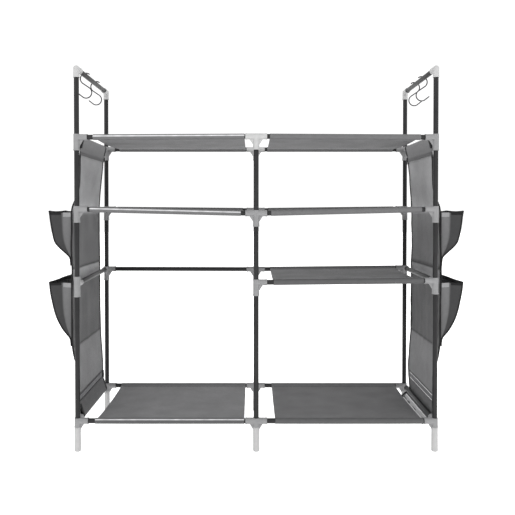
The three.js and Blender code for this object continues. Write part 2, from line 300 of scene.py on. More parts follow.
def tinted(tree, factor, rgb, low, high):
    """A colour that runs from rgb times low to rgb times high as factor runs from 0 to 1."""
    ramp = add_node(tree, "ValToRGB", {"Fac": factor})
    ramp.color_ramp.elements[0].color = (*[c * low for c in rgb], 1)
    ramp.color_ramp.elements[1].color = (*[min(1, c * high) for c in rgb], 1)
    ramp.color_ramp.elements[0].position = 0.3
    ramp.color_ramp.elements[1].position = 0.7
    return ramp.outputs["Color"]


def ranged(tree, value, low, high):
    """A value from 0 to 1, spread from low to high."""
    return add_node(tree, "MapRange", {"Value": value, "To Min": low, "To Max": high}).outputs["Result"]


def powder_coated_steel(rgb):
    """Black polyester powder coat, baked on: a satin film with a fine orange peel and a little dust."""
    material, tree, shader = new_material("powder_coated_steel")
    place = add_node(tree, "TexCoord").outputs["Object"]
    peel = add_node(tree, "TexNoise", {"Vector": place, "Scale": 900, "Detail": 2})  # about 1 mm ripples
    dust = add_node(tree, "TexNoise", {"Vector": place, "Scale": 60, "Detail": 5})  # 17 mm clouds
    bump = add_node(tree, "Bump", {"Height": peel.outputs["Fac"], "Strength": 0.08, "Distance": 0.0004})
    colour_out = tinted(tree, dust.outputs["Fac"], rgb, 0.85, 1.25)
    tree.links.new(colour_out, shader.inputs["Base Color"])
    tree.links.new(ranged(tree, dust.outputs["Fac"], 0.34, 0.5), shader.inputs["Roughness"])
    tree.links.new(bump.outputs["Normal"], shader.inputs["Normal"])
    shader.inputs["IOR"].default_value = 1.5
    shader.inputs["Specular IOR Level"].default_value = 0.22
    return material


def moulded_polypropylene(name, rgb, speckle):
    """Injection-moulded polypropylene: waxy and slightly translucent, from a spark-eroded mould."""
    material, tree, shader = new_material(name)
    place = add_node(tree, "TexCoord").outputs["Object"]
    spark = add_node(tree, "TexNoise", {"Vector": place, "Scale": 1400, "Detail": 3})  # 0.7 mm mould grain
    flow = add_node(tree, "TexNoise", {"Vector": place, "Scale": 90, "Detail": 4, "Distortion": 0.6})
    bump = add_node(tree, "Bump", {"Height": spark.outputs["Fac"], "Strength": 0.1, "Distance": 0.0003})
    tree.links.new(tinted(tree, flow.outputs["Fac"], rgb, 1 - speckle, 1 + speckle), shader.inputs["Base Color"])
    tree.links.new(ranged(tree, flow.outputs["Fac"], 0.36, 0.5), shader.inputs["Roughness"])
    tree.links.new(bump.outputs["Normal"], shader.inputs["Normal"])
    shader.inputs["IOR"].default_value = 1.49
    shader.inputs["Subsurface Weight"].default_value = 0.08
    shader.inputs["Subsurface Radius"].default_value = (0.002, 0.002, 0.002)
    return material


def spunbond_fabric(name, rgb):
    """Spunbond polypropylene, 80 g/m2: cloudy fibres bonded by a grid of pressed points."""
    material, tree, shader = new_material(name)
    flat = add_node(tree, "UVMap", uv_map="UVMap").outputs["UV"]
    turned = add_node(tree, "Mapping", {"Vector": flat, "Rotation": (0, 0, math.radians(45))})
    # The pressed points are 1.2 mm apart on the real cloth and drawn 2 mm apart, so that they show.
    dots = add_node(tree, "TexVoronoi", {"Vector": turned.outputs["Vector"], "Scale": 500, "Randomness": 0.0})
    pressed = add_node(
        tree, "MapRange", {"Value": dots.outputs["Distance"], "From Min": 0.18, "From Max": 0.36}
    ).outputs["Result"]
    clouds = add_node(tree, "TexNoise", {"Vector": flat, "Scale": 75, "Detail": 6, "Roughness": 0.62})
    fibres = add_node(tree, "TexNoise", {"Vector": flat, "Scale": 1500, "Detail": 3, "Distortion": 1.2})
    shade = add_node(
        tree, "Mix", {0: 0.35, 2: clouds.outputs["Fac"], 3: fibres.outputs["Fac"]}, data_type="FLOAT"
    ).outputs[0]
    base = tinted(tree, shade, rgb, 0.86, 1.12)
    darker = add_node(tree, "Mix", {0: pressed, 6: (*[c * 0.82 for c in rgb], 1), 7: base}, data_type="RGBA")
    # The tone attribute scales the colour with painted light and shade. Where a second layer lies behind the cloth
    # less light comes through, and where it is thin, more. It also paints shade at seams, in folds and inside
    # pockets, and a painted highlight along some sleeves.
    tone = add_node(tree, "Attribute", attribute_name="tone").outputs["Fac"]
    toned = add_node(tree, "VectorMath", {0: darker.outputs[2], "Scale": tone}, operation="SCALE")
    tree.links.new(toned.outputs["Vector"], shader.inputs["Base Color"])
    fine = add_node(tree, "Bump", {"Height": fibres.outputs["Fac"], "Strength": 0.25, "Distance": 0.0002})
    bump = add_node(
        tree, "Bump",
        {"Height": pressed, "Strength": 0.45, "Distance": 0.0003, "Normal": fine.outputs["Normal"]},
    )
    tree.links.new(bump.outputs["Normal"], shader.inputs["Normal"])
    tree.links.new(ranged(tree, clouds.outputs["Fac"], 0.62, 0.8), shader.inputs["Roughness"])
    shader.inputs["Sheen Weight"].default_value = 0.02
    shader.inputs["Sheen Roughness"].default_value = 0.5
    shader.inputs["IOR"].default_value = 1.45
    shader.inputs["Specular IOR Level"].default_value = 0.12
    return material


def woven_tape(name, rgb, rib_mm):
    """Woven polyester tape: fine ribs across its length, with a dull sheen."""
    material, tree, shader = new_material(name)
    flat = add_node(tree, "UVMap", uv_map="UVMap").outputs["UV"]
    ribs = add_node(
        tree, "TexWave", {"Vector": flat, "Scale": 1 / (rib_mm * MM * 6.2832) * 3.1416, "Distortion": 0.4},
        bands_direction="Y",
    )
    lint = add_node(tree, "TexNoise", {"Vector": flat, "Scale": 700, "Detail": 3})
    tree.links.new(tinted(tree, lint.outputs["Fac"], rgb, 0.8, 1.2), shader.inputs["Base Color"])
    fine = add_node(tree, "Bump", {"Height": lint.outputs["Fac"], "Strength": 0.3, "Distance": 0.0003})
    bump = add_node(
        tree, "Bump",
        {"Height": ribs.outputs["Fac"], "Strength": 0.4, "Distance": 0.0003, "Normal": fine.outputs["Normal"]},
    )
    tree.links.new(bump.outputs["Normal"], shader.inputs["Normal"])
    shader.inputs["Roughness"].default_value = 0.85
    shader.inputs["Sheen Weight"].default_value = 0.04
    shader.inputs["Specular IOR Level"].default_value = 0.25
    return material


def sewing_thread(name, rgb):
    """Twisted polyester thread, slightly lustrous."""
    material, tree, shader = new_material(name)
    place = add_node(tree, "TexCoord").outputs["Object"]
    twist = add_node(tree, "TexNoise", {"Vector": place, "Scale": 2500, "Detail": 1})
    tree.links.new(tinted(tree, twist.outputs["Fac"], rgb, 0.8, 1.2), shader.inputs["Base Color"])
    shader.inputs["Roughness"].default_value = 0.55
    return material


def plated_wire(rgb):
    """Steel wire under black zinc: dark metal with faint worn patches."""
    material, tree, shader = new_material("black_zinc_wire")
    place = add_node(tree, "TexCoord").outputs["Object"]
    wear = add_node(tree, "TexNoise", {"Vector": place, "Scale": 180, "Detail": 4})
    tree.links.new(tinted(tree, wear.outputs["Fac"], rgb, 0.75, 1.4), shader.inputs["Base Color"])
    tree.links.new(ranged(tree, wear.outputs["Fac"], 0.22, 0.42), shader.inputs["Roughness"])
    shader.inputs["Metallic"].default_value = 0.9
    return material


def lit_floor():
    """A white acrylic light table: matt on top and lit from below, so that it shows no shadow."""
    material, tree, shader = new_material("lit_acrylic_floor")
    place = add_node(tree, "TexCoord").outputs["Object"]
    patch = add_node(tree, "TexNoise", {"Vector": place, "Scale": 1.2, "Detail": 3})
    tree.links.new(
        tinted(tree, patch.outputs["Fac"], linear("#ececec"), 0.99, 1.01), shader.inputs["Base Color"]
    )
    shader.inputs["Roughness"].default_value = 0.9
    shader.inputs["Specular IOR Level"].default_value = 0.1
    shader.inputs["Emission Color"].default_value = (1, 1, 1, 1)
    shader.inputs["Emission Strength"].default_value = 0.8
    return material


MAKERS = {
    "steel": lambda c: powder_coated_steel(c.steel),
    "connector": lambda c: moulded_polypropylene("moulded_polypropylene_grey", c.connector, 0.05),
    "connector_pale": lambda c: moulded_polypropylene("moulded_polypropylene_lit", c.connector_pale, 0.04),
    "foot": lambda c: moulded_polypropylene("moulded_polypropylene_foot", c.foot, 0.035),
    "fabric": lambda c: spunbond_fabric("spunbond_polypropylene_grey", c.fabric),
    "binding": lambda c: woven_tape("woven_polyester_binding", c.binding, 1.6),
    "fastener": lambda c: woven_tape("hook_and_loop_tape", c.fastener, 1.0),
    "flap_fastener": lambda c: woven_tape("hook_and_loop_tape_pale", c.flap_fastener, 1.0),
    "hem": lambda c: woven_tape("woven_polyester_hem", c.hem, 1.6),
    "thread": lambda c: sewing_thread("sewing_thread_black", c.binding),
    "pale_thread": lambda c: sewing_thread("sewing_thread_pale", c.pale_thread),
    "wire": lambda c: plated_wire(c.wire),
}
made_materials = {}


def finish_of(key):
    """The material of that key, made once."""
    if key not in made_materials:
        made_materials[key] = MAKERS[key](bpy.context.scene.organizer_colours)
    return made_materials[key]


# ---- Connectors ----

SLEEVE_DOWN = 32 * MM
ELBOW_DOWN = 21.5 * MM
COLLAR_WIDTH = 3 * MM
COLLAR_RISE = 0.45 * MM
ARM_SHARE = 0.985  # an arm's radius as a share of the sleeve's, so that no two surfaces coincide


def collared(radius, start, end, direction):
    """A cylinder whose far end carries a low collar: its last band is scaled up."""
    obj = cylinder(radius, start, end, direction)
    make_active(obj)
    bpy.ops.object.mode_set(mode="EDIT")
    bpy.ops.mesh.select_all(action="SELECT")
    edge = direction * (end - COLLAR_WIDTH)
    bpy.ops.mesh.bisect(plane_co=edge, plane_no=direction)
    bpy.ops.mesh.select_all(action="SELECT")
    bpy.ops.mesh.bisect(plane_co=edge - direction * COLLAR_RISE, plane_no=direction)
    bpy.ops.object.mode_set(mode="OBJECT")
    for vertex in obj.data.vertices:
        along = vertex.co.dot(direction)
        if along > end - COLLAR_WIDTH - 0.0001:
            axis_point = direction * along
            vertex.co = axis_point + (vertex.co - axis_point) * (1 + COLLAR_RISE / radius)
    return obj


def web_under(arm, settings, drop):
    """The triangular web between an arm and the sleeve: a cube with its outer corner cut away."""
    reach = settings.arm_length - 5.5 * MM
    deselect_all()
    bpy.ops.mesh.primitive_cube_add(size=1, location=(reach / 2, 0, -drop / 2))
    web = bpy.context.object
    web.scale = (reach, settings.web_thickness, drop)
    apply_place(web)
    bpy.ops.object.mode_set(mode="EDIT")
    bpy.ops.mesh.select_all(action="SELECT")
    high = Vector((reach, 0, -6 * MM))
    low = Vector((6.5 * MM, 0, -drop))
    slope = high - low
    bpy.ops.mesh.bisect(
        plane_co=high, plane_no=Vector((-slope.z, 0, slope.x)) * -1, use_fill=True, clear_outer=True
    )
    bpy.ops.object.mode_set(mode="OBJECT")
    web.rotation_euler.z = math.atan2(arm.y, arm.x)
    apply_place(web)
    apply_modifier(web, "BEVEL", width=0.7 * MM, segments=2, limit_method="ANGLE")
    return web


def arms_of(node):
    """The sides on which a connector reaches out, read from its node's box."""
    depth, place = node.split("_")[-2:]
    axis = COLUMNS[depth, place]
    low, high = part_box(node)
    reach = 20 * MM
    found = []
    for name, amount in (
        ("+x", high.x - axis.x), ("-x", axis.x - low.x), ("+y", high.y - axis.y), ("-y", axis.y - low.y)
    ):
        if amount > reach:
            found.append(name)
    return tuple(found)


def model_connector(arms, level, up, down, capped, settings):
    """One moulding, its rail axes through the origin: sleeve, arms and webs joined, sockets cut."""
    radius = settings.connector_radius
    body = collared(radius, 0 if capped else -up, down, -UP)
    if capped:
        combine(body, dome(radius), "UNION")
    drop = settings.web_drop if level == "bottom" else min(settings.web_drop, down - 2 * MM)
    for arm in arms:
        combine(body, web_under(AXES[arm], settings, drop), "UNION")
    for arm in arms:
        combine(body, collared(radius * ARM_SHARE, 1.5 * MM, settings.arm_length, AXES[arm]), "UNION")
    through = settings.socket_radius
    lowest = max(down, drop) + 2 * MM
    bore_top = -settings.socket_start if capped else up + 2 * MM
    combine(body, cylinder(through, -lowest, bore_top, UP), "DIFFERENCE")
    for arm in arms:
        socket = cylinder(through, settings.socket_start, settings.arm_length + 2 * MM, AXES[arm])
        combine(body, socket, "DIFFERENCE")
    for arm in arms:
        if max(vertex.co.dot(AXES[arm]) for vertex in body.data.vertices) < 0.98 * settings.arm_length:
            raise ValueError(f"a {level} connector lost its arm towards {arm}")
    if min(vertex.co.z for vertex in body.data.vertices) > -0.98 * down:
        raise ValueError(f"a {level} connector lost its sleeve")
    face_outwards(body)
    apply_modifier(body, "BEVEL", width=0.35 * MM, segments=2, limit_method="ANGLE", angle_limit=math.radians(40))
    smooth(body)
    return body


def dome(radius):
    """The rounded cap over the end of a post."""
    deselect_all()
    bpy.ops.mesh.primitive_uv_sphere_add(segments=36, ring_count=15, radius=radius)
    cap = bpy.context.object
    cap.scale = (1.012, 1.012, 1.0)
    apply_place(cap)
    return cap


class ORGANIZER_OT_connectors(bpy.types.Operator):
    """Adds the moulded connectors: each kind is modelled once, then copied"""

    bl_idname = "organizer.connectors"
    bl_label = "Add Connectors"

    def execute(self, context):
        settings = context.scene.organizer_frame
        templates = {}
        for (depth, place), axis in COLUMNS.items():
            for level in LEVELS:
                if place == "centre" and level == "hanger":
                    continue
                node = f"connector_{level}_{depth}_{place}"
                height = connector_height(level, depth, place)
                up = round(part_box(node)[1].z - height, 4)
                down = {"hanger": ELBOW_DOWN, "bottom": height - settings.foot_length}.get(level, SLEEVE_DOWN)
                capped = level == "hanger" or (level == "upper" and place == "centre")
                kind = (arms_of(node), level, up, round(down, 4), capped)
                if kind not in templates:
                    templates[kind] = model_connector(*kind, settings)
                matrix = Matrix.Translation((axis.x, axis.y, height))
                piece = copied(templates[kind], f"moulding_{level}_{depth}_{place}", matrix)
                # Capped connectors take the paler copy of the grey: painted light.
                shade = "connector_pale" if capped else "connector"
                finish_piece(piece, piece.name, finish_of(shade), replaces=[node])
        for template in templates.values():
            bpy.data.objects.remove(template)
        return {"FINISHED"}


# ---- Feet ----

class ORGANIZER_OT_feet(bpy.types.Operator):
    """Adds the feet: a cup turned from its floor disc, then copied"""

    bl_idname = "organizer.feet"
    bl_label = "Add Feet"

    def execute(self, context):
        settings = context.scene.organizer_frame
        foot = self.model_foot(settings)
        for (depth, place), axis in COLUMNS.items():
            piece = copied(foot, f"foot_{depth}_{place}", Matrix.Translation((axis.x, axis.y, 0)))
            node = f"connector_bottom_{depth}_{place}"
            finish_piece(piece, piece.name, finish_of("foot"), replaces=[node])
        bpy.data.objects.remove(foot)
        return {"FINISHED"}

    def model_foot(self, settings):
        """Extruded up from the floor disc: rounded rim, slightly tapered wall, lip, and the bore."""
        top = settings.foot_length
        bore = settings.socket_radius
        outline = [(7.0, 0.35), (7.7, 1.2), (7.95, 2.6), (7.95, 5), (7.8, 20), (7.65, 40)]
        outline = [(r * MM, z * MM) for r, z in outline]
        outline += [(7.6 * MM, top - 0.5 * MM), (7.3 * MM, top), (bore + 0.3 * MM, top), (bore, top - 0.5 * MM)]
        outline += [(bore, 6.5 * MM), (bore * 0.5, 6 * MM)]
        first = 6.2 * MM
        deselect_all()
        bpy.ops.mesh.primitive_circle_add(vertices=40, radius=first, fill_type="NGON")
        foot = bpy.context.object
        bpy.ops.object.mode_set(mode="EDIT")
        bpy.ops.mesh.select_mode(type="FACE")
        bpy.ops.mesh.select_all(action="SELECT")
        radius, height = first, 0.0
        for next_radius, next_height in outline:
            bpy.ops.mesh.extrude_region_move(TRANSFORM_OT_translate={"value": (0, 0, next_height - height)})
            share = next_radius / radius
            bpy.ops.transform.resize(value=(share, share, 1))
            radius, height = next_radius, next_height
        bpy.ops.object.mode_set(mode="OBJECT")
        face_outwards(foot)
        smooth(foot, 50)
        return foot


# ---- Tubes ----

def model_tube(length_m, settings):
    """A welded tube on the Z axis: an open cylinder given its wall, its cut ends eased."""
    deselect_all()
    bpy.ops.mesh.primitive_cylinder_add(
        vertices=32, radius=settings.tube_radius, depth=length_m, end_fill_type="NOTHING"
    )
    tube = bpy.context.object
    apply_modifier(tube, "SOLIDIFY", thickness=settings.tube_wall, offset=-1)
    apply_modifier(tube, "BEVEL", width=0.15 * MM, segments=2, limit_method="ANGLE", angle_limit=math.radians(60))
    smooth(tube)
    return tube


def lay_tube(name, start, end, replaces, settings, templates):
    """A tube from start to end, copied from the template of its length."""
    span = end - start
    key = round(span.length, 5)
    if key not in templates:
        templates[key] = model_tube(span.length, settings)
    turn = span.to_track_quat("Z", "Y").to_matrix().to_4x4()
    matrix = Matrix.Translation((start + end) / 2) @ turn
    piece = copied(templates[key], name, matrix)
    finish_piece(piece, name, finish_of("steel"), replaces=[replaces])


def remove_all(templates):
    for template in templates.values():
        bpy.data.objects.remove(template)


class ORGANIZER_OT_posts(bpy.types.Operator):
    """Adds the post tubes, one between each connector and the next"""

    bl_idname = "organizer.posts"
    bl_label = "Add Posts"

    def execute(self, context):
        settings = context.scene.organizer_frame
        templates = {}
        gap = 0.4 * MM  # tubes that meet in a connector leave this between them
        for (depth, place), axis in COLUMNS.items():
            node = f"post_{depth}_{place}"
            low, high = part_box(node)
            levels = [level for level in LEVELS if level != "hanger" or place != "centre"]
            heights = [connector_height(level, depth, place) for level in levels]
            stops = [height for height in heights if low.z < height < high.z]
            cuts = [low.z - gap, *stops[1:], high.z + gap]
            for number, (bottom, top) in enumerate(zip(cuts, cuts[1:]), start=1):
                start = Vector((axis.x, axis.y, bottom + gap))
                end = Vector((axis.x, axis.y, top - gap))
                lay_tube(f"post_tube_{depth}_{place}_{number}", start, end, node, settings, templates)
        remove_all(templates)
        return {"FINISHED"}


class ORGANIZER_OT_rails(bpy.types.Operator):
    """Adds the front, back and side rails"""

    bl_idname = "organizer.rails"
    bl_label = "Add Rails"

    def execute(self, context):
        settings = context.scene.organizer_frame
        templates = {}
        for (way, level, place), (node, ends) in RAILS.items():
            lay_tube(f"{way}_tube_{level}_{place}", *ends, node, settings, templates)
        remove_all(templates)
        return {"FINISHED"}


# ---- S-hooks ----

class ORGANIZER_OT_hooks(bpy.types.Operator):
    """Adds the four S-hooks: the wire's section spun round each loop, with rounded tips"""

    bl_idname = "organizer.hooks"
    bl_label = "Add Hooks"

    def execute(self, context):
        settings = context.scene.organizer_frame
        template = self.model_hook(settings)
        for place in HOOKS:
            node = f"hook_{place}"
            side = SIDES[place.split("_")[0]]
            turn = Matrix.Rotation(0 if side > 0 else math.pi, 4, "Z")
            piece = copied(template, f"s_hook_{place}", Matrix.Translation(middle(node)) @ turn)
            finish_piece(piece, piece.name, finish_of("wire"), f"{place}_hook", [node])
        bpy.data.objects.remove(template)
        return {"FINISHED"}

    def model_hook(self, settings):
        """The hook in the X-Z plane, open outwards at the bottom, about the origin."""
        radius, offset = settings.hook_loop_radius, settings.hook_loop_offset
        tangent = math.acos(radius / offset) - math.pi / 2
        bend_end = math.radians(128)
        upper = Vector((0, 0, offset))
        onwards = Vector((math.sin(bend_end), 0, -math.cos(bend_end)))
        straight = onwards * settings.hook_tip_length
        start = upper + radius * Vector((math.cos(bend_end), 0, math.sin(bend_end))) - straight
        deselect_all()
        bpy.ops.mesh.primitive_circle_add(
            vertices=14, radius=settings.wire_radius, fill_type="NOTHING", location=start,
            rotation=(math.pi / 2, 0, 0),
        )
        hook = bpy.context.object
        hook.rotation_euler = onwards.to_track_quat("Z", "Y").to_euler()
        apply_place(hook)
        bpy.ops.object.mode_set(mode="EDIT")
        bpy.ops.mesh.select_all(action="SELECT")
        bpy.ops.mesh.extrude_region_move(TRANSFORM_OT_translate={"value": straight})
        bpy.ops.mesh.spin(steps=26, angle=tangent - bend_end, center=upper, axis=(0, 1, 0))
        leave = upper + radius * Vector((math.cos(tangent), 0, math.sin(tangent)))
        bpy.ops.mesh.extrude_region_move(TRANSFORM_OT_translate={"value": leave * -2})
        bpy.ops.mesh.spin(steps=26, angle=bend_end - tangent, center=-upper, axis=(0, 1, 0))
        bpy.ops.mesh.extrude_region_move(TRANSFORM_OT_translate={"value": straight})
        bpy.ops.object.mode_set(mode="OBJECT")
        nearest = min((vertex.co + start).length for vertex in hook.data.vertices)
        if nearest > 1.1 * settings.wire_radius:
            raise ValueError("the hook's lower end isn't opposite its upper one")
        for end, out in ((start, -onwards), (-start, onwards)):
            self.round_tip(hook, end, out, settings.wire_radius)
        face_outwards(hook)
        smooth(hook, 60)
        return hook

    def round_tip(self, hook, end, out, radius):
        """Closes the wire's open end with a dome of three rings."""
        make_active(hook)
        bpy.ops.object.mode_set(mode="EDIT")
        bpy.ops.mesh.select_mode(type="VERT")
        bpy.ops.mesh.select_all(action="DESELECT")
        bpy.ops.object.mode_set(mode="OBJECT")
        for vertex in hook.data.vertices:
            vertex.select = (vertex.co - end).length < radius * 1.1
        bpy.ops.object.mode_set(mode="EDIT")
        ring, height = 1.0, 0.0
        for angle in (30, 60, 85):
            rise = radius * math.sin(math.radians(angle))
            share = math.cos(math.radians(angle))
            bpy.ops.mesh.extrude_region_move(TRANSFORM_OT_translate={"value": out * (rise - height)})
            bpy.ops.transform.resize(value=(share / ring,) * 3)
            ring, height = share, rise
        bpy.ops.mesh.edge_face_add()
        bpy.ops.object.mode_set(mode="OBJECT")


# ---- Cloth meshes ----

def through(points, step):
    """Points about a step apart along a smooth line through the given ones."""
    line = [Vector(point) for point in points]
    ends = [2 * line[0] - line[1], *line, 2 * line[-1] - line[-2]]
    fine = []
    for a, b, c, d in zip(ends, ends[1:], ends[2:], ends[3:]):
        count = max(1, round((c - b).length / step))
        for k in range(count):
            t = k / count
            bend = (2 * a - 5 * b + 4 * c - d) * t * t + (3 * b - a - 3 * c + d) * t ** 3
            fine.append((2 * b + (c - a) * t + bend) / 2)
    return [*fine, line[-1]]


def arc(centre, radius, start, end, step=12):
    """Points on an arc of a profile, from one angle to another, about a step of degrees apart."""
    count = max(2, round(abs(math.degrees(end - start)) / step))
    angles = [start + (end - start) * k / count for k in range(count + 1)]
    return [centre + radius * Vector((math.cos(angle), math.sin(angle))) for angle in angles]


def tangent_angles(seam, axis, radius):
    """The angles at which two lines from a seam touch the round of a rail."""
    away = seam - axis
    lean = math.acos(radius / away.length)
    heading = math.atan2(away.y, away.x)
    return heading - lean, heading + lean


def running_lengths(points):
    lengths = [0.0]
    for a, b in zip(points, points[1:]):
        lengths.append(lengths[-1] + (b - a).length)
    return lengths


def eased(value, start, end):
    """0 at start, 1 at end, and smooth between them."""
    t = min(1, max(0, (value - start) / (end - start)))
    return t * t * (3 - 2 * t)


def mesh_object(name, points, faces, flat, tones=None):
    """A mesh with the flat position of each point as its UV, in metres, and its tone."""
    mesh = bpy.data.meshes.new(name)
    mesh.from_pydata(points, [], faces)
    layer = mesh.uv_layers.new(name="UVMap")
    for loop in mesh.loops:
        layer.data[loop.index].uv = flat[loop.vertex_index]
    tone = mesh.attributes.new("tone", "FLOAT", "POINT")
    for index in range(len(points)):
        tone.data[index].value = tones[index] if tones else 1.0
    obj = bpy.data.objects.new(name, mesh)
    bpy.context.collection.objects.link(obj)
    return obj


def grid_faces(rows, columns):
    return [
        (i * columns + j, i * columns + j + 1, (i + 1) * columns + j + 1, (i + 1) * columns + j)
        for i in range(rows - 1) for j in range(columns - 1)
    ]


def cloth_grid(name, grid, tones):
    """A sheet from rows of points, laid flat in its UV map by its lengths along and across."""
    rows, columns = len(grid), len(grid[0])
    across = [running_lengths(row) for row in grid]
    along = [running_lengths([row[j] for row in grid]) for j in range(columns)]
    flat = [(across[i][j], along[j][i]) for i in range(rows) for j in range(columns)]
    points = [point for row in grid for point in row]
    return mesh_object(name, points, grid_faces(rows, columns), flat, [t for row in tones for t in row])


def thicken(obj, thickness):
    """Gives a sheet its thickness, half to each side, and shades it smooth."""
    face_outwards(obj)
    apply_modifier(obj, "SOLIDIFY", thickness=thickness, offset=0, use_even_offset=True)
    smooth(obj, 50)


def swept(name, sections, widths):
    """A closed band through equal rings of points, capped at both ends."""
    size = len(sections[0])
    faces = []
    for i in range(len(sections) - 1):
        for j in range(size):
            k = (j + 1) % size
            faces.append((i * size + j, i * size + k, (i + 1) * size + k, (i + 1) * size + j))
    last = (len(sections) - 1) * size
    faces += [tuple(reversed(range(size))), tuple(last + j for j in range(size))]
    runs = running_lengths([ring[0] for ring in sections])
    flat = [(widths[j], runs[i]) for i in range(len(sections)) for j in range(size)]
    obj = mesh_object(name, [p for ring in sections for p in ring], faces, flat)
    face_outwards(obj)
    smooth(obj, 50)
    return obj


def tape_round(name, edge, inner, width, half):
    """Tape folded round an edge: edge and inner are matching points of the sheet, half its half thickness."""
    outline = [(width, half), (0.0, half), (-0.7 * half, 0.7 * half), (-half, 0.0), (-0.7 * half, -0.7 * half),
               (0.0, -half), (width, -half), (width, -SHEET_GAP), (0.2 * MM, -SHEET_GAP),
               (0.2 * MM, SHEET_GAP), (width, SHEET_GAP)]
    spans = running_lengths([Vector(p) for p in outline])
    rings = []
    for i, point in enumerate(edge):
        ahead = (edge[min(i + 1, len(edge) - 1)] - edge[max(i - 1, 0)]).normalized()
        inwards = inner[i] - point
        inwards = (inwards - ahead * inwards.dot(ahead)).normalized()
        out = ahead.cross(inwards)
        rings.append([point + inwards * w + out * h for w, h in outline])
    return swept(name, rings, spans)


def strip_between(name, low_line, high_line, lift, thickness):
    """A flat tape between two lines of a sheet, lifted off it along a direction."""
    rings = []
    for low, high in zip(low_line, high_line):
        base = lift.normalized() * SHEET_GAP
        top = lift.normalized() * (SHEET_GAP + thickness)
        centre = (low + high) / 2
        rings.append([low + base, centre + base, high + base, high + top, centre + top * 1.15, low + top])
    return swept(name, rings, [0, 8 * MM, 16 * MM, 17 * MM, 25 * MM, 33 * MM])


STITCH_RINGS = ((-1.0, 0.25), (-0.6, 0.8), (0.0, 1.0), (0.6, 0.8), (1.0, 0.25))


def stitches(name, line, lift, pitch, size=0.42 * MM, colour_key="thread"):
    """A row of stitches: short fat threads along a line, each with a gap to the next, on a sheet's face."""
    runs = running_lengths(line)
    points, faces = [], []
    count = int(runs[-1] / pitch)
    margin = (runs[-1] - count * pitch) / 2
    up = lift.normalized()
    segment = 0
    for number in range(count):
        at = margin + (number + 0.5) * pitch
        while runs[segment + 1] < at:
            segment += 1
        share = (at - runs[segment]) / (runs[segment + 1] - runs[segment])
        centre = line[segment].lerp(line[segment + 1], share) + up * SHEET_GAP
        ahead = (line[segment + 1] - line[segment]).normalized()
        side = ahead.cross(up)
        first = len(points)
        for along, round_share in STITCH_RINGS:
            for k in range(6):
                angle = k * math.pi / 3
                out = side * math.cos(angle) + up * math.sin(angle)
                points.append(centre + ahead * along * pitch * 0.38 + out * size * round_share)
        for ring in range(len(STITCH_RINGS) - 1):
            for k in range(6):
                a, b = first + ring * 6 + k, first + ring * 6 + (k + 1) % 6
                faces.append((a, b, b + 6, a + 6))
        faces += [tuple(first + k for k in reversed(range(6))), tuple(len(points) - 6 + k for k in range(6))]
    obj = mesh_object(name, points, faces, [(0.0, 0.0)] * len(points))
    face_outwards(obj)
    smooth(obj, 80)
    return finish_piece(obj, name, finish_of(colour_key))


SHEET_GAP = 0.36 * MM  # from a sheet's middle to what lies on its face


def sleeve_cut(radius, seam):
    """Cloth from a seam round a rail and back to it, the seam lying that far from the rail's axis."""
    return 2 * math.sqrt(seam ** 2 - radius ** 2) + 2 * radius * (math.pi - math.acos(radius / seam))


# ---- Fabric shelves ----

HEM_TAIL = 22 * MM  # the hem's raw edge, from the rail's axis
HEM_DROP = 0.8 * MM  # the hem lies this far below the sheet
SHELF_GRID = 6 * MM


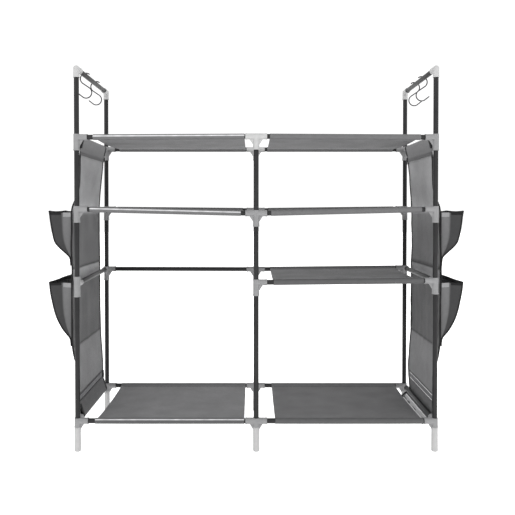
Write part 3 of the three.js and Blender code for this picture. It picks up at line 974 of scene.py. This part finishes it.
class ORGANIZER_OT_shelves(bpy.types.Operator):
    """Adds the fabric shelves: sewn round their rails, then left to sag in a cloth simulation"""

    bl_idname = "organizer.shelves"
    bl_label = "Add Shelves"

    def execute(self, context):
        settings = context.scene.organizer_fabric
        for level, place in SHELVES:
            self.add_shelf(level, place, settings)
        return {"FINISHED"}

    def add_shelf(self, level, place, settings):
        node, front = RAILS["front", level, place]
        back = RAILS["back", level, place][1]
        fabric = [v.co.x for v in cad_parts[node].data.vertices if abs(abs(v.co.y) - POST_Y) > 6.3 * MM]
        low, high = min(fabric), max(fabric)
        count = round((high - low) / SHELF_GRID)
        name = f"shelf_cloth_{level}_{place}"
        columns, pins, bands = [], [], []
        for k in range(count + 1):
            x = low + (high - low) * k / count
            ends = point_on(front, 0, x), point_on(back, 0, x)
            column, pins, bands = self.section(*ends, HIGHLIGHT_ANGLES[level], settings)
            columns.append(column)
        grid = [[column[i] for column in columns] for i in range(len(columns[0]))]
        self.slacken(grid, pins, level, place)
        tones = [[self.tone(bands[i], level, place, k, i) for k in range(len(columns))] for i in range(len(grid))]
        cloth = cloth_grid(name, grid, tones)
        self.settle(cloth, pins, len(columns))
        corners = {i: [cloth.data.vertices[i * len(columns) + j].co.copy() for j in range(len(columns))]
                   for i in (bands.index("sheet"), len(bands) - 1 - bands[::-1].index("sheet"))}
        thicken(cloth, settings.thickness)
        finish_piece(cloth, name, finish_of("fabric"), replaces=[node])
        for label, line in zip(("front", "back"), corners.values()):
            for face, lift in (("top", UP), ("under", -UP * 3.2)):
                seam = f"seam_{label}_{face}_{level}_{place}"
                drop = Vector((0, 0, 0 if face == "top" else -HEM_DROP))
                inset = [point + drop for point in line[1:-1]]
                stitches(seam, inset, lift, settings.stitch_pitch, 0.6 * MM)
        seam = settings.shelf_seam

    def section(self, front, back, crest, settings):
        """The sheet from hem to hem at one place along its rails: points, which are held, and their bands."""
        run = back - front
        inwards = run.normalized()
        up = Vector((1, 0, 0)).cross(inwards)
        radius, seam = settings.sleeve_radius - settings.thickness / 2, settings.shelf_seam
        lean = math.acos(radius / seam)
        tail = [Vector((s, -HEM_DROP)) for s in (HEM_TAIL, 18 * MM, seam)]
        bow = arc(Vector((0, 0)), radius, -lean, lean - 2 * math.pi)
        over = [bow[-1].lerp(Vector((seam, 0)), share) for share in (0.5, 1.0)]
        under = [tail[-1].lerp(bow[0], 0.5)]
        sleeve = [*tail, *under, *bow, *over]
        names = ["hem"] * len(tail) + ["sleeve"] * (len(under) + len(bow) + 1) + ["sheet"]
        # The rows at the highlight's angle are marked, to be painted pale.
        for k, point in enumerate(bow):
            if abs(math.degrees(math.atan2(point.y, point.x)) % 360 - crest) < 13:
                names[len(tail) + len(under) + k] = "crest"
        place = lambda base, sign, p: base + inwards * p.x * sign + up * p.y
        steps = round((run.length - 2 * seam) / SHELF_GRID)
        middle_part = [
            front + inwards * (seam + (run.length - 2 * seam) * k / steps) for k in range(1, steps)
        ]
        points = [place(front, 1, p) for p in sleeve] + middle_part + [place(back, -1, p) for p in reversed(sleeve)]
        held = [True] * len(sleeve) + [False] * len(middle_part) + [True] * len(sleeve)
        back_names = ["back_" + n if n != "sheet" else n for n in reversed(names)]
        return points, held, names + ["sheet"] * len(middle_part) + back_names

    def slacken(self, grid, pins, level, place):
        """Lets the cloth hang a little lower between its seams, with soft pulls from the corners."""
        free = [i for i, held in enumerate(pins) if not held]
        seed = SHELVES.index((level, place)) * 7.3
        for i in free:
            t = (i - free[0] + 1) / (len(free) + 1)
            belly = 4 * t * (1 - t)
            for j, point in enumerate(grid[i]):
                s = j / (len(grid[i]) - 1)
                ripple = noise.noise(Vector((s * 5.5, t * 1.6, seed))) * 1.7 + noise.noise(
                    Vector((s * 17, t * 4.0, seed + 3))) * 0.5
                inside = 1 - abs(2 * s - 1) ** 3
                point.z += belly * (-1.2 - 3.9 * inside + ripple * (0.4 + 0.6 * inside)) * MM

    def tone(self, band, level, place, column, row):
        """Each shelf's own shade, with soft clouds; the sleeves are drawn darker than the sheet. Along the left bay's
        front sleeves a narrow painted highlight runs the length of the rail, brighter and fainter in turn.
        """
        if band in ("back_sleeve", "back_crest"):
            return 0.75
        # Painted highlight along the left bay's front sleeves.
        if band == "crest" and place == "left":
            return {"upper": 3.6, "middle": 3.2, "bottom": 3.2}[level] * (
                1 + 0.35 * noise.noise(Vector((column * 0.35, 0, 0))))
        if band in ("sleeve", "crest"):
            return 0.55 if level in ("lower", "bottom") else 0.8
        cloud = noise.noise(Vector((column * 0.12, row * 0.16, SHELVES.index((level, place)))))
        return SHELF_TONES.get((level, place), 1.08) * (1 + 0.14 * cloud)

    def settle(self, cloth, pins, columns):
        """Pins the sleeves and steps the cloth simulation until the sheet has come to rest."""
        group = cloth.vertex_groups.new(name="held")
        group.add([i * columns + j for i, held in enumerate(pins) if held for j in range(columns)], 1.0, "REPLACE")
        make_active(cloth)
        modifier = cloth.modifiers.new("Cloth", "CLOTH")
        sheet = modifier.settings
        sheet.quality = 5
        sheet.mass = 0.02
        sheet.tension_stiffness = sheet.compression_stiffness = 60
        sheet.shear_stiffness = 30
        sheet.bending_stiffness = 0.6
        sheet.air_damping = 4
        sheet.vertex_group_mass = "held"
        modifier.point_cache.frame_end = SETTLE_FRAMES
        scene = bpy.context.scene
        for step in range(1, SETTLE_FRAMES + 1):
            scene.frame_set(step)
        bpy.ops.object.modifier_apply(modifier=modifier.name)
        scene.frame_set(1)
        cloth.vertex_groups.clear()


SETTLE_FRAMES = 14
# Where the painted highlight runs along a front sleeve, in degrees round its rail from the sheet, by level.
HIGHLIGHT_ANGLES = {"upper": 163, "middle": 166, "lower": 150, "bottom": 136}
# Some shelves are drawn brighter or darker than the others by these factors.
SHELF_TONES = {("upper", "left"): 1.25, ("upper", "right"): 1.12, ("lower", "right"): 1.25, ("bottom", "right"): 0.83}


# ---- Side panels ----

RAIL_ROUND = 6.6  # middle of the cloth round a side rail, mm
# The sheet's front and rear edges between its seams: distance from the rack's middle and height, mm.
FRONT_LINE = (
    (430.6, 727), (430.4, 705), (430.8, 670), (432.6, 630), (438.0, 606), (444.5, 588), (446.9, 568), (445.6, 538),
    (447.0, 505), (447.2, 460), (446.6, 437), (447.0, 404), (446.8, 345), (445.2, 300), (446.4, 262), (445.2, 245),
    (441.0, 220), (436.6, 205), (435.4, 180), (435.2, 155), (435.4, 126), (435.6, 110),
)
REAR_LINE = (
    (431.4, 727), (434.2, 705), (437.6, 675), (440.6, 640), (442.6, 612), (444.0, 580), (444.0, 540), (443.6, 480),
    (443.0, 437), (443.6, 404), (443.2, 345), (443.0, 300), (441.6, 245), (438.2, 190), (436.4, 155), (435.8, 126),
    (435.6, 110),
)
PANEL_SEAM_TOP, PANEL_HEM_TOP, PANEL_SEAM_LOW, STRIP_TOP = 727, 715, 109, 126
LOOSE_FLAP = ((437.2, 84), (437.6, 74), (436.4, 67.5), (431, 65.3), (425.5, 63.2), (417, 55.5), (408.5, 43.5))
PANEL_STEP = 6.0
PANEL_NARROW = 220  # the panel between its connectors, mm
# The heights between which a row of pockets lies behind the sheet.
UPPER_ROW, LOWER_ROW = (445, 575), (250, 404)
SEAM_HEIGHTS = (727, 437, 245, 126, 110)
# How bright the sheet is drawn from a height down, as painted light coming through the cloth: its top, behind the
# pockets, between and below them.
PANEL_TONES = ((727, 2.15), (575, 0.74), (437, 1.85), (404, 0.6), (245, 1.12), (0, 1.12))


def line_at(line, z):
    """How far out an edge's smooth line stands at a height."""
    for above, below in zip(line, line[1:]):
        if above.y >= z >= below.y and above.y > below.y:
            return above.x + (below.x - above.x) * (above.y - z) / (above.y - below.y)
    return line[0].x if z > line[0].y else line[-1].x


def panel_profile(loose):
    """The cloth's line from the hem over the upper rail to the end of the bottom flap, with each point's band."""
    upper = Vector((430, 755))
    lower = Vector((430, 73))
    seam = Vector((429.7, PANEL_SEAM_TOP))
    inner, _ = tangent_angles(seam, upper, RAIL_ROUND)
    _, outer = tangent_angles(Vector(FRONT_LINE[0]), upper, RAIL_ROUND)
    bow = arc(upper, RAIL_ROUND, inner, outer - 2 * math.pi)
    parts = [("hem", through([(429.2, PANEL_HEM_TOP), seam], PANEL_STEP)[:-1])]
    parts.append(("flap", through([seam, bow[0]], PANEL_STEP)[:-1]))
    parts.append(("flap", bow))
    parts.append(("drop", through([bow[-1], FRONT_LINE[0]], PANEL_STEP)[1:-1]))
    parts.append(("sheet", through(FRONT_LINE, PANEL_STEP)))
    if loose:
        parts.append(("loose", through([FRONT_LINE[-1], *LOOSE_FLAP], PANEL_STEP)[1:]))
    else:
        end = Vector((434.5, PANEL_SEAM_LOW - 1))
        leave, _ = tangent_angles(Vector(FRONT_LINE[-1]), lower, RAIL_ROUND)
        _, rejoin = tangent_angles(end, lower, RAIL_ROUND)
        bow = arc(lower, RAIL_ROUND, leave, rejoin - 2 * math.pi)
        parts.append(("low_drop", through([FRONT_LINE[-1], bow[0]], PANEL_STEP)[1:-1]))
        parts.append(("low_flap", bow))
        parts.append(("low_flap", through([bow[-1], end], PANEL_STEP)[1:]))
    return [(band, point) for band, points in parts for point in points]


def panel_cut(place):
    """A side panel's cut and area, from its rails and seams. The open flap is cut as long as the closed one."""
    low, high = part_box(f"side_panel_{place}")
    width = high.y - low.y
    upper, bottom = (middle(f"side_rail_{level}_{place}").z for level in ("upper", "bottom"))
    turned = sleeve_cut(RAIL_ROUND * MM, upper - PANEL_SEAM_TOP * MM) + (PANEL_SEAM_TOP - PANEL_HEM_TOP) * MM
    turned += sleeve_cut(RAIL_ROUND * MM, PANEL_SEAM_LOW * MM - bottom)
    length = turned + (PANEL_SEAM_TOP - PANEL_SEAM_LOW) * MM
    return (width, length), width * length - (width - PANEL_NARROW * MM) * turned


class ORGANIZER_OT_panels(bpy.types.Operator):
    """Adds the side panels with their bindings, seams and fastener strips"""

    bl_idname = "organizer.panels"
    bl_label = "Add Side Panels"

    def execute(self, context):
        settings = context.scene.organizer_fabric
        for place, side in SIDES.items():
            self.add_panel(place, side, settings)
        return {"FINISHED"}

    def ends_of_row(self, band, z, place):
        """Where a row of the panel starts and ends, front to back: it narrows between the connectors."""
        front, back = -PANEL_NARROW / 2, PANEL_NARROW / 2
        wide_front, wide_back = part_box(f"side_panel_{place}")[0].y / MM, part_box(f"side_panel_{place}")[1].y / MM
        if band == "sheet":
            low_turn = 134 if place == "right" else 118
            widening = 0.3 * eased(z, 727, 700) + 0.7 * eased(z, 650, 592)
            front += (wide_front - front) * widening * eased(z, 96, low_turn)
            back += (wide_back - back) * eased(z, PANEL_SEAM_TOP, PANEL_SEAM_TOP - 20) * eased(z, 96, low_turn)
        if band == "loose":
            back -= 1.5
            front += 2
        return front, back

    def add_panel(self, place, side, settings):
        profile = panel_profile(loose=place == "right")
        columns = round(243 / PANEL_STEP)
        front_line, rear_line = through(FRONT_LINE, PANEL_STEP), through(REAR_LINE, PANEL_STEP)
        grid, tones = [], []
        for band, (a, z) in profile:
            front, back = self.ends_of_row(band, z, place)
            row, row_tones = [], []
            lean = line_at(rear_line, z) - line_at(front_line, z) if band == "sheet" else 0.0
            for j in range(columns + 1):
                y = front + (back - front) * j / columns
                out = a + lean * j / columns + self.ripple(band, y, z, side)
                lifted = z + 10 * max(0, 67 - z) / 24 * (1 - j / columns) if band == "loose" else z
                row.append(Vector((side * out, y, lifted)) * MM)
                row_tones.append(self.tone(band, z, y, side))
            grid.append(row)
            tones.append(row_tones)
        name = f"panel_cloth_{place}"
        cloth = cloth_grid(name, grid, tones)
        thicken(cloth, settings.thickness)
        finish_piece(cloth, name, finish_of("fabric"), replaces=[f"side_panel_{place}"])
        extras = self.add_bindings(place, side, profile, grid, settings)
        extras += self.add_seams(place, side, profile, grid, settings)
        flat, area = panel_cut(place)

    def ripple(self, band, y, z, side):
        """How far the hanging cloth stands out from its line, mm: soft upright folds, still at its rails."""
        if band not in ("sheet", "loose"):
            return 0.0
        calm = eased(z, 727, 680) * eased(z, 110, 150) if band == "sheet" else 0.6
        drape = noise.noise(Vector((y * 0.021, z * 0.006, side * 4.0))) * 2.2
        folds = noise.noise(Vector((y * 0.06, z * 0.011, side * 9.0))) * 0.9
        crumple = noise.noise(Vector((y * 0.05, z * 0.045, side * 2.0))) * (1.0 if side > 0 else 0.45)
        return calm * (drape + folds + crumple)

    def tone(self, band, z, y, side):
        """How bright the cloth is drawn, as painted light and shade: light comes through one layer, less through two,
        and a painted line of shade lies at each seam.
        """
        if band in ("hem", "low_drop", "loose"):
            return 0.75
        if band in ("flap", "drop"):
            return 1.08
        if band == "low_flap":
            return 0.57
        if any(abs(z - height) < 1.5 for height in SEAM_HEIGHTS):
            return 0.4
        value = PANEL_TONES[0][1]
        for height, tone in PANEL_TONES[1:]:
            value += (tone - value) * eased(z, height + 4, height - 3)
        cloud = noise.noise(Vector((y * 0.018, z * 0.02, side * 6.0)))
        patch = 1.4 if side > 0 and 445 < z < 575 else 1.0  # painted light: the right sheet is drawn brighter behind its upper pocket
        return value * patch * (1 + 0.16 * cloud)

    def add_bindings(self, place, side, profile, grid, settings):
        """Tape round the front and rear edges, from the flap's seam over the rail and down to the bottom."""
        start = next(i for i, (band, _) in enumerate(profile) if band == "flap") + 1
        stop = len(profile) - (0 if place == "right" else 1)
        pieces = []
        for label, edge, inner in (("front", 0, 2), ("rear", -1, -3)):
            line = [row[edge] for row in grid[start:stop]]
            beside = [row[inner] for row in grid[start:stop]]
            half = 1.3 * MM if (place, label) == ("right", "rear") else 1.0 * MM
            name = f"panel_binding_{label}_{place}"
            tape = tape_round(name, line, beside, settings.binding_width * 0.8, half)
            pieces.append(finish_piece(tape, name, finish_of("binding")))
        seam = next(point for band, point in profile if band == "flap")
        drop = 20 if place == "right" else 11
        pieces.append(self.add_tail(f"panel_tape_tail_{place}", side, seam.x - 1.6, seam.y + 2, seam.y + 2 - drop))
        if place == "left":
            pieces.append(self.add_tail("panel_tape_ear_left", side, 432.6, 104, 126))
        return pieces

    def add_tail(self, name, side, out, start, end):
        """The loose end of a rear tape, from one height to another."""
        line, beside = [], []
        for k in range(6):
            z = start + (end - start) * k / 5
            point = Vector((side * (out - 0.4 * k / 5), 110.5 + 1.5 * math.sin(k), z)) * MM
            line.append(point)
            beside.append(point - Vector((0, 8 * MM, 0)))
        tape = tape_round(name, line, beside, 6 * MM, 0.8 * MM)
        return finish_piece(tape, name, finish_of("binding"))

    def add_seams(self, place, side, profile, grid, settings):
        inwards, outwards = Vector((-side, 0, 0)), Vector((side, 0, 0))
        sheet_rows = [i for i, (band, _) in enumerate(profile) if band == "sheet"]
        row_at = lambda z: min(sheet_rows, key=lambda i: abs(profile[i][1].y - z))
        pieces = []
        heights = [("top", PANEL_SEAM_TOP - 3), ("upper_pocket", UPPER_ROW[0] - 8),
                   ("lower_pocket", LOWER_ROW[0] - 5)]
        if place == "right":
            heights.append(("second", PANEL_HEM_TOP))
        for label, z in heights:
            line = grid[row_at(z)][1:-1]
            depth = 1.1 * MM if label in ("top", "second") else 0.0
            shifted = [point + inwards * depth for point in line]
            for face, lift in (("inner", inwards), ("outer", outwards)):
                name = f"panel_seam_{label}_{face}_{place}"
                run = shifted if face == "inner" else line
                pieces.append(stitches(name, run, lift, settings.stitch_pitch, 0.6 * MM))
        low, high = grid[row_at(PANEL_SEAM_LOW + 1)], grid[row_at(STRIP_TOP)]
        begin = 2
        name = f"fastener_strip_{place}"
        strip = strip_between(name, low[begin:-3], high[begin:-3], inwards, 1.0 * MM)
        thread = "thread" if place == "left" else "pale_thread"
        pieces.append(finish_piece(strip, name, finish_of("fastener")))
        for label, row, nudge in (("low", low, 1.2), ("high", high, -1.2)):
            name = f"fastener_seam_{label}_{place}"
            line = [p + Vector((0, 0, nudge * MM)) + inwards * 1.1 * MM for p in row[begin:-3]]
            pieces.append(stitches(name, line, inwards, settings.stitch_pitch, 1.0 * MM, thread))
        if place == "right":
            rows = [i for i, (band, _) in enumerate(profile) if band == "loose"]
            edge, back_row = grid[rows[-1]], grid[rows[-5]]
            lift = (edge[5] - back_row[5]).cross(Vector((0, 1, 0))).normalized()
            lift = lift if lift.z > 0 else -lift
            name = "flap_strip_right"
            strip = strip_between(name, edge[3:-3], back_row[3:-3], lift, 1.0 * MM)
            pieces.append(finish_piece(strip, name, finish_of("flap_fastener")))
            for label, share in (("low", 0.08), ("middle", 0.45), ("high", 0.92)):
                line = [p.lerp(q, share) + lift * 1.2 * MM for p, q in zip(edge[3:-3], back_row[3:-3])]
                seam = f"flap_seam_{label}_right"
                pieces.append(stitches(seam, line, lift, settings.stitch_pitch, 0.9 * MM, thread))
        return pieces


# ---- Pockets ----

# A pocket's outer wall seen from the front, from its mouth to its bottom seam, mm.
POCKET_LINES = {
    "upper": ((501.0, 579), (499.4, 570), (496.2, 547), (493.6, 532), (491.0, 518), (486.8, 504), (480.0, 494.5),
              (470.2, 485), (459.8, 475.6), (451.6, 467), (449.2, 457), (448.5, 446)),
    "lower": ((500.6, 407), (500.0, 400), (499.2, 392), (497.8, 382), (494.0, 363), (488.6, 339), (480.4, 315),
              (467.4, 291), (452.0, 272), (449.2, 262), (448.5, 251)),
}
POCKET_MOUTHS = {"upper": 574, "lower": 403}
# Where a gusset folds, from the rack's middle in mm, by how far down the gusset it is.
GUSSET_CREASE = ((0.0, 469.6), (0.4, 468.0), (0.6, 465.5), (0.8, 460.0), (0.93, 453.0), (1.0, 449.0))
GUSSET_INNER = 448.2
FOLD_DEPTH = 9
DIVIDER_GAP = 3.2  # from a divider to its pocket's wall, mm
DIVIDER_DROP = 6  # from a pocket's mouth down to its divider, mm


class ORGANIZER_OT_pockets(bpy.types.Operator):
    """Adds the pocket rows: outer walls, folded gussets, dividers, hems and bindings"""

    bl_idname = "organizer.pockets"
    bl_label = "Add Pockets"

    def execute(self, context):
        settings = context.scene.organizer_fabric
        for place, side in SIDES.items():
            for row in POCKET_LINES:
                self.add_row(row, place, side, settings)
        return {"FINISHED"}

    def add_row(self, row, place, side, settings):
        node = f"pocket_row_{row}_{place}"
        low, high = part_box(node)
        front, back = low.y / MM, high.y / MM
        profile = through(POCKET_LINES[row], PANEL_STEP)
        self.add_wall(row, place, side, profile, front, back, node, settings)
        for label, y, inwards in (("front", front, 1), ("rear", back, -1)):
            self.add_gusset(row, place, side, profile, label, y, inwards, node, settings)
        self.add_divider(row, place, side, profile, (front + back) / 2, node, settings)

    def crown(self, y, front, back, top):
        """How far a wall swells out between its seams, mm."""
        half = (back - front) / 2
        t = ((y - front) % half) / half
        return 2.2 * math.sin(math.pi * t) * top - 1.6 * (1 - eased(abs(y - (front + back) / 2), 0, 14)) * top

    def add_wall(self, row, place, side, profile, front, back, node, settings):
        count = round((back - front) / PANEL_STEP)
        grid, tones = [], []
        top_z = profile[0].y
        for a, z in profile:
            fall = (top_z - z) / (top_z - profile[-1].y)
            points = []
            for j in range(count + 1):
                y = front + (back - front) * j / count
                swell = self.crown(y, front, back, min(1, 3 * (1 - fall)) * 0.9)
                ruffle = noise.noise(Vector((y * 0.05, z * 0.03, side * 3.1))) * 0.9 * (1 - fall)
                dip = -2.0 * math.sin(math.pi * (((y - front) % ((back - front) / 2)) / ((back - front) / 2)))
                points.append(Vector((side * (a + swell + ruffle), y, z + dip * (1 - fall) ** 4)) * MM)
            grid.append(points)
            # The wall is drawn darker than the sheet: painted shade.
            tones.append([0.7] * (count + 1))
        name = f"pocket_wall_{row}_{place}"
        wall = cloth_grid(name, grid, tones)
        thicken(wall, settings.thickness)
        finish_piece(wall, name, finish_of("fabric"), replaces=[node])
        for label, edge, inner in (("front", 0, 2), ("rear", -1, -3)):
            tape_name = f"pocket_binding_{label}_{row}_{place}"
            tape = tape_round(tape_name, [p[edge] for p in grid], [p[inner] for p in grid],
                              settings.binding_width * 0.7, 1.5 * MM)
            finish_piece(tape, tape_name, finish_of("binding"))
        mouth_name = f"pocket_mouth_{row}_{place}"
        mouth = tape_round(mouth_name, grid[0][1:-1], grid[2][1:-1], settings.binding_width * 0.8, 0.9 * MM)
        finish_piece(mouth, mouth_name, finish_of("binding"))
        seam_name = f"pocket_seam_{row}_{place}"
        line = grid[-2][1:-1]
        stitches(seam_name, line, Vector((side, 0, 0)), settings.stitch_pitch)
        middle_name = f"pocket_middle_seam_{row}_{place}"
        centre = [points[count // 2] for points in grid[2:]]
        stitches(middle_name, centre, Vector((side, 0, 0)), settings.stitch_pitch)

    def crease_at(self, fall):
        for (above, high), (below, low) in zip(GUSSET_CREASE, GUSSET_CREASE[1:]):
            if fall <= below:
                return high + (low - high) * (fall - above) / (below - above)
        return GUSSET_CREASE[-1][1]

    def rows_of(self, profile, mouth):
        """Heights of a gusset's rows with how far out the wall stands there."""
        rows = []
        z = mouth
        while z > profile[-1].y + 3:
            above = max((p for p in profile if p.y >= z), key=lambda p: -p.y)
            below = max((p for p in profile if p.y < z), key=lambda p: p.y)
            share = (z - below.y) / (above.y - below.y)
            rows.append((z, below.x + (above.x - below.x) * share - 0.8))
            z -= PANEL_STEP
        return [(z, a) for z, a in rows if a > GUSSET_INNER + 1.5]

    def add_gusset(self, row, place, side, profile, label, y, inwards, node, settings):
        """A gusset between panel and wall, folded inwards along an upright crease."""
        rows = self.rows_of(profile, POCKET_MOUTHS[row])
        grid, tones = [], []
        half = 6
        for z, out in rows:
            fall = (rows[0][0] - z) / (rows[0][0] - rows[-1][0])
            crease = min(self.crease_at(fall), (GUSSET_INNER + out) / 2)
            depth = FOLD_DEPTH * (1 - 0.75 * fall) * min(1, (out - GUSSET_INNER) / 30)
            points, row_tones = [], []
            for k in range(2 * half + 1):
                t = k / half
                if t <= 1:
                    a = GUSSET_INNER + (crease - GUSSET_INNER) * t
                    in_fold = t
                else:
                    a = crease + (out - crease) * (t - 1)
                    in_fold = 2 - t
                wave = noise.noise(Vector((a * 0.06, z * 0.03, side * 5.0 + inwards))) * 0.8
                points.append(Vector((side * a, y + inwards * (1.2 + depth * in_fold + wave * in_fold), z)) * MM)
                # Painted light and shade: the half by the panel is drawn lighter, darker towards the bottom, and the
                # outer half dark.
                light = 0.72 - 0.25 * fall + 0.2 * math.sin(2.4 * t) if t <= 1 else 0.29
                row_tones.append(light)
            grid.append(points)
            tones.append(row_tones)
        name = f"gusset_{label}_{row}_{place}"
        gusset = cloth_grid(name, grid, tones)
        thicken(gusset, settings.thickness)
        finish_piece(gusset, name, finish_of("fabric"), replaces=[node])
        hem_name = f"gusset_hem_{label}_{row}_{place}"
        hem = tape_round(hem_name, grid[0][:half + 1], grid[1][:half + 1], settings.binding_width, 0.7 * MM)
        finish_piece(hem, hem_name, finish_of("hem"))
        edge_name = f"gusset_edge_{label}_{row}_{place}"
        edge = tape_round(edge_name, grid[0][half + 1:], grid[1][half + 1:], 5 * MM, 0.7 * MM)
        finish_piece(edge, edge_name, finish_of("binding"))

    def add_divider(self, row, place, side, profile, y, node, settings):
        """The plain wall between a row's two pockets."""
        rows = self.rows_of(profile, POCKET_MOUTHS[row] - DIVIDER_DROP)
        grid = []
        for z, out in rows:
            ends = GUSSET_INNER, out - DIVIDER_GAP
            if ends[1] < ends[0] + 1:
                break
            points = []
            for k in range(9):
                a = ends[0] + (ends[1] - ends[0]) * k / 8
                bend = 1.2 * math.sin(math.pi * k / 8) * math.sin(z * 0.03)
                points.append(Vector((side * a, y + bend, z)) * MM)
            grid.append(points)
        name = f"pocket_divider_{row}_{place}"
        # The divider is drawn dark: painted shade inside the pocket.
        divider = cloth_grid(name, grid, [[0.4] * 9] * len(grid))
        thicken(divider, settings.thickness)
        finish_piece(divider, name, finish_of("fabric"), replaces=[node])


# ---- Stage ----

class ORGANIZER_OT_stage(bpy.types.Operator):
    """Adds the floor, the lights and the camera"""

    bl_idname = "organizer.stage"
    bl_label = "Add Stage"

    def execute(self, context):
        deselect_all()
        bpy.ops.mesh.primitive_circle_add(vertices=96, radius=14, fill_type="NGON", location=(0, 0, -0.0005))
        floor = context.object
        floor.name = "studio_floor"
        apply_place(floor)
        floor.data.materials.append(lit_floor())
        self.add_light("key", (-1.9, -2.6, 2.9), 2.2, 30)
        self.add_light("fill", (2.4, -2.0, 1.8), 2.4, 16)
        self.add_light("top", (0.0, 0.4, 3.4), 2.6, 6)
        world = bpy.data.worlds.new("studio")
        world.use_nodes = True
        background = next(n for n in world.node_tree.nodes if n.type == "BACKGROUND")
        background.inputs["Color"].default_value = (1, 1, 1, 1)
        background.inputs["Strength"].default_value = 1.12
        context.scene.world = world
        context.scene.view_settings.view_transform = "Standard"
        self.add_camera(context)
        return {"FINISHED"}

    def add_light(self, name, place, size, power):
        """A square softbox aimed at the middle of the rack."""
        target = Vector((0, 0, 0.5))
        place = Vector(place)
        turn = (target - place).to_track_quat("-Z", "Y").to_euler()
        bpy.ops.object.light_add(type="AREA", location=place, rotation=turn)
        light = bpy.context.object
        light.name = name
        light.data.size = size
        light.data.energy = power

    def add_camera(self, context):
        """The viewer stands 1.36 m in front of the posts, eyes just above half height."""
        bpy.ops.object.camera_add(
            location=(-0.008, -POST_Y - 1.362, 0.581), rotation=(math.radians(90 - 0.75), 0, 0)
        )
        camera = context.object
        camera.data.lens = 39.7
        camera.data.sensor_width = 36
        camera.data.shift_x = 0.009
        camera.data.shift_y = -0.078
        context.scene.camera = camera


class ORGANIZER_PT_panel(bpy.types.Panel):
    """Lists the organizer's pieces in the order in which they are made"""

    bl_label = "Shoe Organizer"
    bl_idname = "ORGANIZER_PT_panel"
    bl_space_type = "VIEW_3D"
    bl_region_type = "UI"
    bl_category = "Organizer"

    def draw(self, context):
        for operator in OPERATORS:
            self.layout.operator(operator.bl_idname)
        for settings in ("organizer_frame", "organizer_fabric", "organizer_colours"):
            group = getattr(context.scene, settings)
            box = self.layout.box()
            for name in group.__annotations__:
                box.prop(group, name)


SETTINGS = {
    "organizer_frame": OrganizerFrameSettings,
    "organizer_fabric": OrganizerFabricSettings,
    "organizer_colours": OrganizerColourSettings,
}
OPERATORS = (
    ORGANIZER_OT_stage, ORGANIZER_OT_connectors, ORGANIZER_OT_feet, ORGANIZER_OT_posts,
    ORGANIZER_OT_rails, ORGANIZER_OT_hooks, ORGANIZER_OT_shelves, ORGANIZER_OT_panels, ORGANIZER_OT_pockets,
)


def register():
    for cls in (*SETTINGS.values(), *OPERATORS, ORGANIZER_PT_panel):
        bpy.utils.register_class(cls)
    for name, group in SETTINGS.items():
        setattr(bpy.types.Scene, name, PointerProperty(type=group))


def unregister():
    for name in SETTINGS:
        delattr(bpy.types.Scene, name)
    for cls in reversed((*SETTINGS.values(), *OPERATORS, ORGANIZER_PT_panel)):
        bpy.utils.unregister_class(cls)


def main():
    register()
    for operator in OPERATORS:
        group, name = operator.bl_idname.split(".")
        getattr(getattr(bpy.ops, group), name)()


if __name__ == "__main__":
    main()
